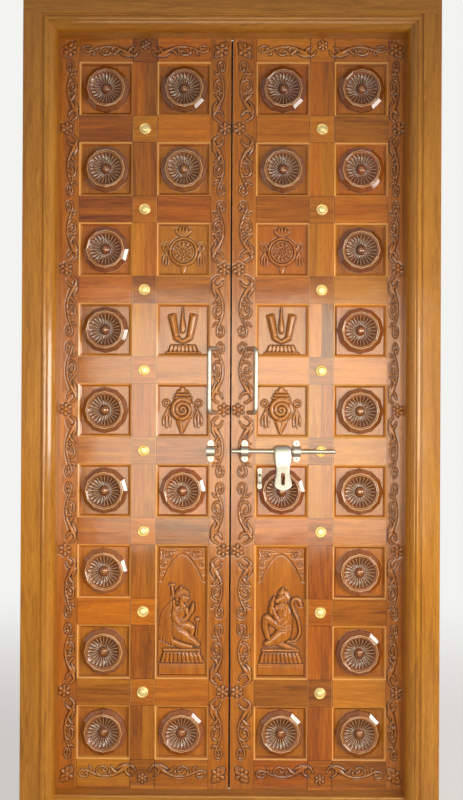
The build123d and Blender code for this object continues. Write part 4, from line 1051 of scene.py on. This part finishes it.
def tailed_figure(relief):
    """Kneeling monkey-faced figure with joined hands, looking left, its tail in an S behind it."""
    shrine(relief)
    tail = [(7, -30, 1.6), (14.6, -28.4, 1.5), (18.8, -20.4, 1.5), (17.4, -9.4, 1.5), (13.6, -0.6, 1.6)]
    tail += [(11.0, 8.4, 1.7), (13.4, 12.8, 1.9), (17.4, 12.0, 2.2), (19.8, 6.8, 1.8)]
    relief.stroke(tail, 6.2)
    relief.stroke([(1.4, 3.4, 6.6), (3.0, -5, 8.0), (3.2, -14, 8.2), (3.0, -21, 7.6)], 8.6)
    relief.stroke([(-1, -32, 3.4), (6, -34.8, 2.7), (14.4, -37, 1.5)], 6.6)
    relief.stroke([(3, -22, 7.2), (-3, -26.6, 6.4), (-10, -30.4, 4.4), (-14.6, -32, 3.0)], 9.2)
    relief.stroke([(-1, -15, 4.6), (-8, -10.6, 4.2), (-14.0, -6.0, 3.7)], 8.8)
    relief.stroke([(-15.0, -6.6, 3.5), (-15.8, -16, 2.9), (-12.8, -26.0, 2.3)], 8.2)
    for v in (-14.0, -17.4):
        relief.stroke([(-1, v, 0.7), (4, v - 1.4, 0.8), (10, v, 0.7)], 1.0, over=True)
    relief.bead(1.4, 13.4, 5.4, 9.0)
    relief.stroke([(-1.4, 12, 3.4), (-4.2, 10.8, 2.5)], 9.6)
    relief.stroke([(-3.4, 15.2, 0.7), (-0.6, 16.2, 0.6)], 1.0, over=True)
    relief.stroke([(-5.6, 9.8, 0.4), (-2.8, 9.2, 0.4)], 0.9, over=True)
    relief.stroke([(4.4, 13.2, 1.9), (5.0, 9.8, 1.5)], 9.6)
    relief.stroke([(-0.4, 18.4, 2.8), (3.4, 18.2, 3.7), (6.8, 13.4, 2.7)], 9.6)
    relief.stroke([(1.0, 20.6, 2.5), (2.0, 23.2, 1.1)], 7.8)
    for u, v in ((-2.8, 17.8), (-0.8, 18.4), (1.6, 18.0), (3.8, 16.8)):
        relief.bead(u, v, 1.0, 1.5, over=True)
    relief.stroke([(3.6, 3.4, 4.0), (3.8, -5.0, 3.6), (-1.6, -9.4, 3.1)], 10.0)
    relief.stroke([(-1.8, -9.4, 2.9), (-5.8, -3.4, 2.6), (-8.4, 3.6, 2.2)], 10.2)
    relief.stroke([(-4.4, 4.0, 3.0), (-8.8, -1.2, 2.7), (-10.4, 3.6, 2.2)], 8.8)
    relief.stroke([(-9.2, 3.4, 2.5), (-8.6, 9.0, 2.3), (-7.0, 14.2, 1.3)], 9.8)
    jewels(relief, ((4.0, 0.2), (-4.4, -5.4)), 1.9, -3.2, 6.0, 1.7)


def carved_board(side, kind, draw, middle_z, half_h, material):
    """Closed board whose front face carries a relief, in the place of the CAD board."""
    node = f"{side}_{kind}_panel"
    (x0, _, z0), (x1, back_y, z1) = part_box(node)
    middle_x = columns(side)[1] * SIDES[side]
    relief = Relief(-BOARD_HALF_W, BOARD_HALF_W, -half_h, half_h, BOARD_STEP, UNIT)
    draw(relief)
    heights = relief.heights(*BOARD_GROOVE)
    verts, quads = relief.surface(heights, GROUND_Y, x=middle_x, z=middle_z)
    index = np.arange(len(verts)).reshape(heights.shape)
    runs = (index[0], index[:, -1], index[-1, ::-1], index[::-1, 0])
    corners = [(x0, z0), (x1, z0), (x1, z1), (x0, z1)]
    rims = [(x, y, z) for y in (GROUND_Y * MM, back_y) for x, z in corners]
    front, back = len(verts), len(verts) + 4
    faces = list(quads)
    faces += [(*run[::-1], front + k, front + (k + 1) % 4) for k, run in enumerate(runs)]
    faces += band(back, front, 4)
    faces.append(range(back + 3, back - 1, -1))
    tone = carving_tone(heights, *BOARD_TONE)
    obj = make_object(f"{node}_carved", np.vstack([verts, rims]), faces, material, tone, len(quads))
    face_outward(obj.data)
    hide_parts(node)
    on_leaf(obj, side)


# Small pieces

# Size of the near-black strip that paints the shade in the gap between the leaves
STRIP_Y = (49.0, 52.0)
STRIP_TIP = (2.3, 2.0)
STRIP_PITCH = 3.0
STRIP_ROOT, STRIP_END, STRIP_TAPER = 1.0, 2.0, 0.6
SCREW_R, SCREW_H, SCREW_RIM = 3.0, 1.3, 0.25
SCREW_SLOT_W, SCREW_SLOT_D, SCREW_AROUND = 0.9, 0.7, 20


def gap_shade_strip(material):
    """Pile strip let into the left leaf's meeting edge, which closes the gap between the leaves; its
    near-black pile stands in for the shade in the gap.
    """
    root = -MEETING_X - STRIP_ROOT
    near, far = STRIP_Y
    count = int((LEAF_Z[1] - LEAF_Z[0] - 2 * STRIP_END) / STRIP_PITCH)
    verts = []
    for i in range(count + 1):
        z = LEAF_Z[0] + STRIP_END + STRIP_PITCH * i
        tip = STRIP_TIP[i % 2]
        for x, y in ((root, near), (tip, near + STRIP_TAPER), (tip, far - STRIP_TAPER), (root, far)):
            verts.append((x * MM, y * MM, z * MM))
    faces = ring_faces(count + 1, 4)
    on_leaf(make_object("left_gap_shade_strip", verts, faces, material), "left")


def screw_mesh():
    """Raised countersunk head with a sawn slot, its axis along -Y and its seat at y = 0."""
    verts = []
    levels = ((1.0, 0.0), (1.0, SCREW_RIM), (0.82, SCREW_H * 0.66), (0.5, SCREW_H * 0.93))
    for share, h in levels:
        for x, z in circle_points(SCREW_R * share, SCREW_AROUND):
            slot = abs(z) < SCREW_SLOT_W / 2 and h > SCREW_RIM
            verts.append((x, -(h - SCREW_SLOT_D) if slot else -h, z))
    verts += [(0.0, SCREW_SLOT_D - SCREW_H, 0.0), (0.0, 0.0, 0.0)]
    return verts, ring_faces(len(levels), SCREW_AROUND, tips=True)


def screws(side, places, material):
    """Group of screw heads at (x, y, z, turn) places, in millimetres and degrees."""
    verts, faces = turned_copies(*screw_mesh(), places)
    on_leaf(make_object(f"{side}_bolt_screws", verts, faces, material), side)


HASP_AT = (155.5, -2.6, BOLT_Z)
HASP_TILT = 15.0
HASP_HUB_R = 17.6
HASP_SHOULDER = 46.0
HASP_HALF_T = 2.5
HASP_SWELL = 8.5
HASP_BORE_R = 5.7
HASP_STEP, HASP_QUARTER = 2.4, 14
HASP_SIDE_POWER, HASP_FACE_POWER = 0.55, 0.42
HASP_CREASE = 40
BORE_POINTS, BORE_REACH = 32, 40
SLOT_POINTS, SLOT_REACH = 24, 20
# The slot's middle, height and width
HASP_SLOT = (-83.0, 38.0, 12.0)
HASP_EDGE = (
    (17.6, 6.0), (17.0, 14.0), (15.2, 19.6), (12.0, 23.6), (7.5, 26.0), (2.0, 27.0), (-8.0, 27.0),
    (-18.0, 26.4), (-27.0, 24.6), (-36.0, 22.2), (-46.0, 20.2), (-55.0, 19.4), (-65.0, 20.0),
    (-75.0, 21.4), (-86.0, 23.6), (-94.0, 25.2), (-100.0, 25.8), (-106.0, 23.4), (-111.4, 17.8),
    (-115.0, 10.4), (-116.6, 2.4),
)


def cut_with(obj, *cutters):
    """Cut the cutters out of a mesh object and keep the result as its own mesh."""
    for cutter in cutters:
        mod = obj.modifiers.new("cut", "BOOLEAN")
        mod.operation = "DIFFERENCE"
        mod.solver = "EXACT"
        mod.object = cutter
    graph = bpy.context.evaluated_depsgraph_get()
    made = bpy.data.meshes.new_from_object(obj.evaluated_get(graph))
    obj.modifiers.clear()
    obj.data = made
    for cutter in cutters:
        bpy.data.objects.remove(cutter)


def prism(name, outline, axis, reach):
    """Closed prism: an outline of (a, b) pairs in millimetres drawn out along an axis, both ways."""
    verts = []
    for end in (-reach, reach):
        verts += [(end, a, b) if axis == "x" else (a, end, b) for a, b in outline]
    n = len(outline)
    mesh = bpy.data.meshes.new(name)
    faces = [range(n), range(2 * n - 1, n - 1, -1), *band(0, n, n)]
    mesh.from_pydata([tuple(c * MM for c in v) for v in verts], [], [tuple(f) for f in faces])
    face_outward(mesh)
    return in_scene(name, mesh)


def forged_hasp(material):
    """Hasp with a rounded head about the rod, a waisted plate and a slot, tipped out at rest."""
    stations = smooth_line([(z, w, 0.0) for z, w in HASP_EDGE], HASP_STEP)[:, :2]
    n = 2 * HASP_QUARTER
    verts = []
    for z, half in stations:
        if z > 0:
            swell = math.sqrt(1 - (z / HASP_HUB_R) ** 2)
        else:
            swell = math.cos(math.pi / 2 * max(z / HASP_SHOULDER, -1)) ** 2
        thick = HASP_HALF_T + HASP_SWELL * swell
        for c, d in circle_points(1.0, n):
            x = half * math.copysign(abs(c) ** HASP_SIDE_POWER, c)
            y = thick * math.copysign(abs(d) ** HASP_FACE_POWER, d)
            verts.append((x * MM, y * MM, z * MM))
    faces = ring_faces(len(stations), n)
    obj = make_object("bolt_hasp_forged", verts, faces, material, smooth=len(faces))
    face_outward(obj.data)
    drop, tall, wide = HASP_SLOT
    shift = (tall - wide) / 2
    ends = circle_points(wide / 2, SLOT_POINTS)
    oval = [(a, drop + b + (shift if b >= 0 else -shift)) for a, b in ends]
    bore = prism("bore", circle_points(HASP_BORE_R, BORE_POINTS), "x", BORE_REACH)
    cut_with(obj, bore, prism("slot", oval, "y", SLOT_REACH))
    tilt = Matrix.Rotation(math.radians(-HASP_TILT), 4, "X")
    obj.data.transform(Matrix.Translation([c * MM for c in HASP_AT]) @ tilt)
    obj.data.set_sharp_from_angle(angle=math.radians(HASP_CREASE))
    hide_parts("bolt_hasp")
    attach(obj, "bolt_hasp")


# Everything together

EMBLEMS = {"wheel": wheel_emblem, "tilak": tilak_emblem, "conch": conch_emblem}
FIGURES = {"left": winged_figure, "right": tailed_figure}

add_camera()
add_world()
for name, lamp in LAMPS.items():
    area_light(name, *lamp)
add_floor()
bpy.context.scene.view_settings.view_transform = "Standard"

materials = make_materials()
dress_cad(materials)
for side in SIDES:
    carve_stile(side, "hinge_stile", materials["stile"])
    carve_stile(side, "meeting_stile", materials["stile"])
    carve_end_rail(side, "top_rail", materials["leaf_x"])
    carve_end_rail(side, "bottom_rail", materials["leaf_x"])
    carve_rosettes(side, materials["rosette"])
    for row, kind in EMBLEM_ROWS.items():
        carved_board(side, kind, EMBLEMS[kind], row_middle(row), BOARD_HALF_H, materials["panel"])
tall_z = sum(row_middle(row) for row in TALL_ROWS) / len(TALL_ROWS)
for side, figure in FIGURES.items():
    carved_board(side, "figure", figure, tall_z, TALL_HALF_H, materials["figure"])

# Near-black strip standing in for the shade in the gap between the leaves
gap_shade_strip(materials["gap_shade"])
forged_hasp(materials["satin_steel"])
# The screws stand on the ears' faces, each with its slot turned its own way
guide_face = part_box("bolt_guides")[1][1] / MM - EAR_T
staple_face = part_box("bolt_staple")[1][1] / MM - STAPLE_T
staple_x, staple_z = STAPLE_AT
right = [(x, guide_face, BOLT_Z + s * EAR_UP, 20 + 37 * s + x) for x in GUIDE_X for s in (-1, 1)]
right += [(staple_x, staple_face, staple_z + s * STAPLE_UP, 55 * s) for s in (-1, 1)]
left = [(KEEPER_X, guide_face, BOLT_Z + s * EAR_UP, 70 * s) for s in (-1, 1)]
for side, places in (("right", right), ("left", left)):
    screws(side, places, materials["satin_steel"])
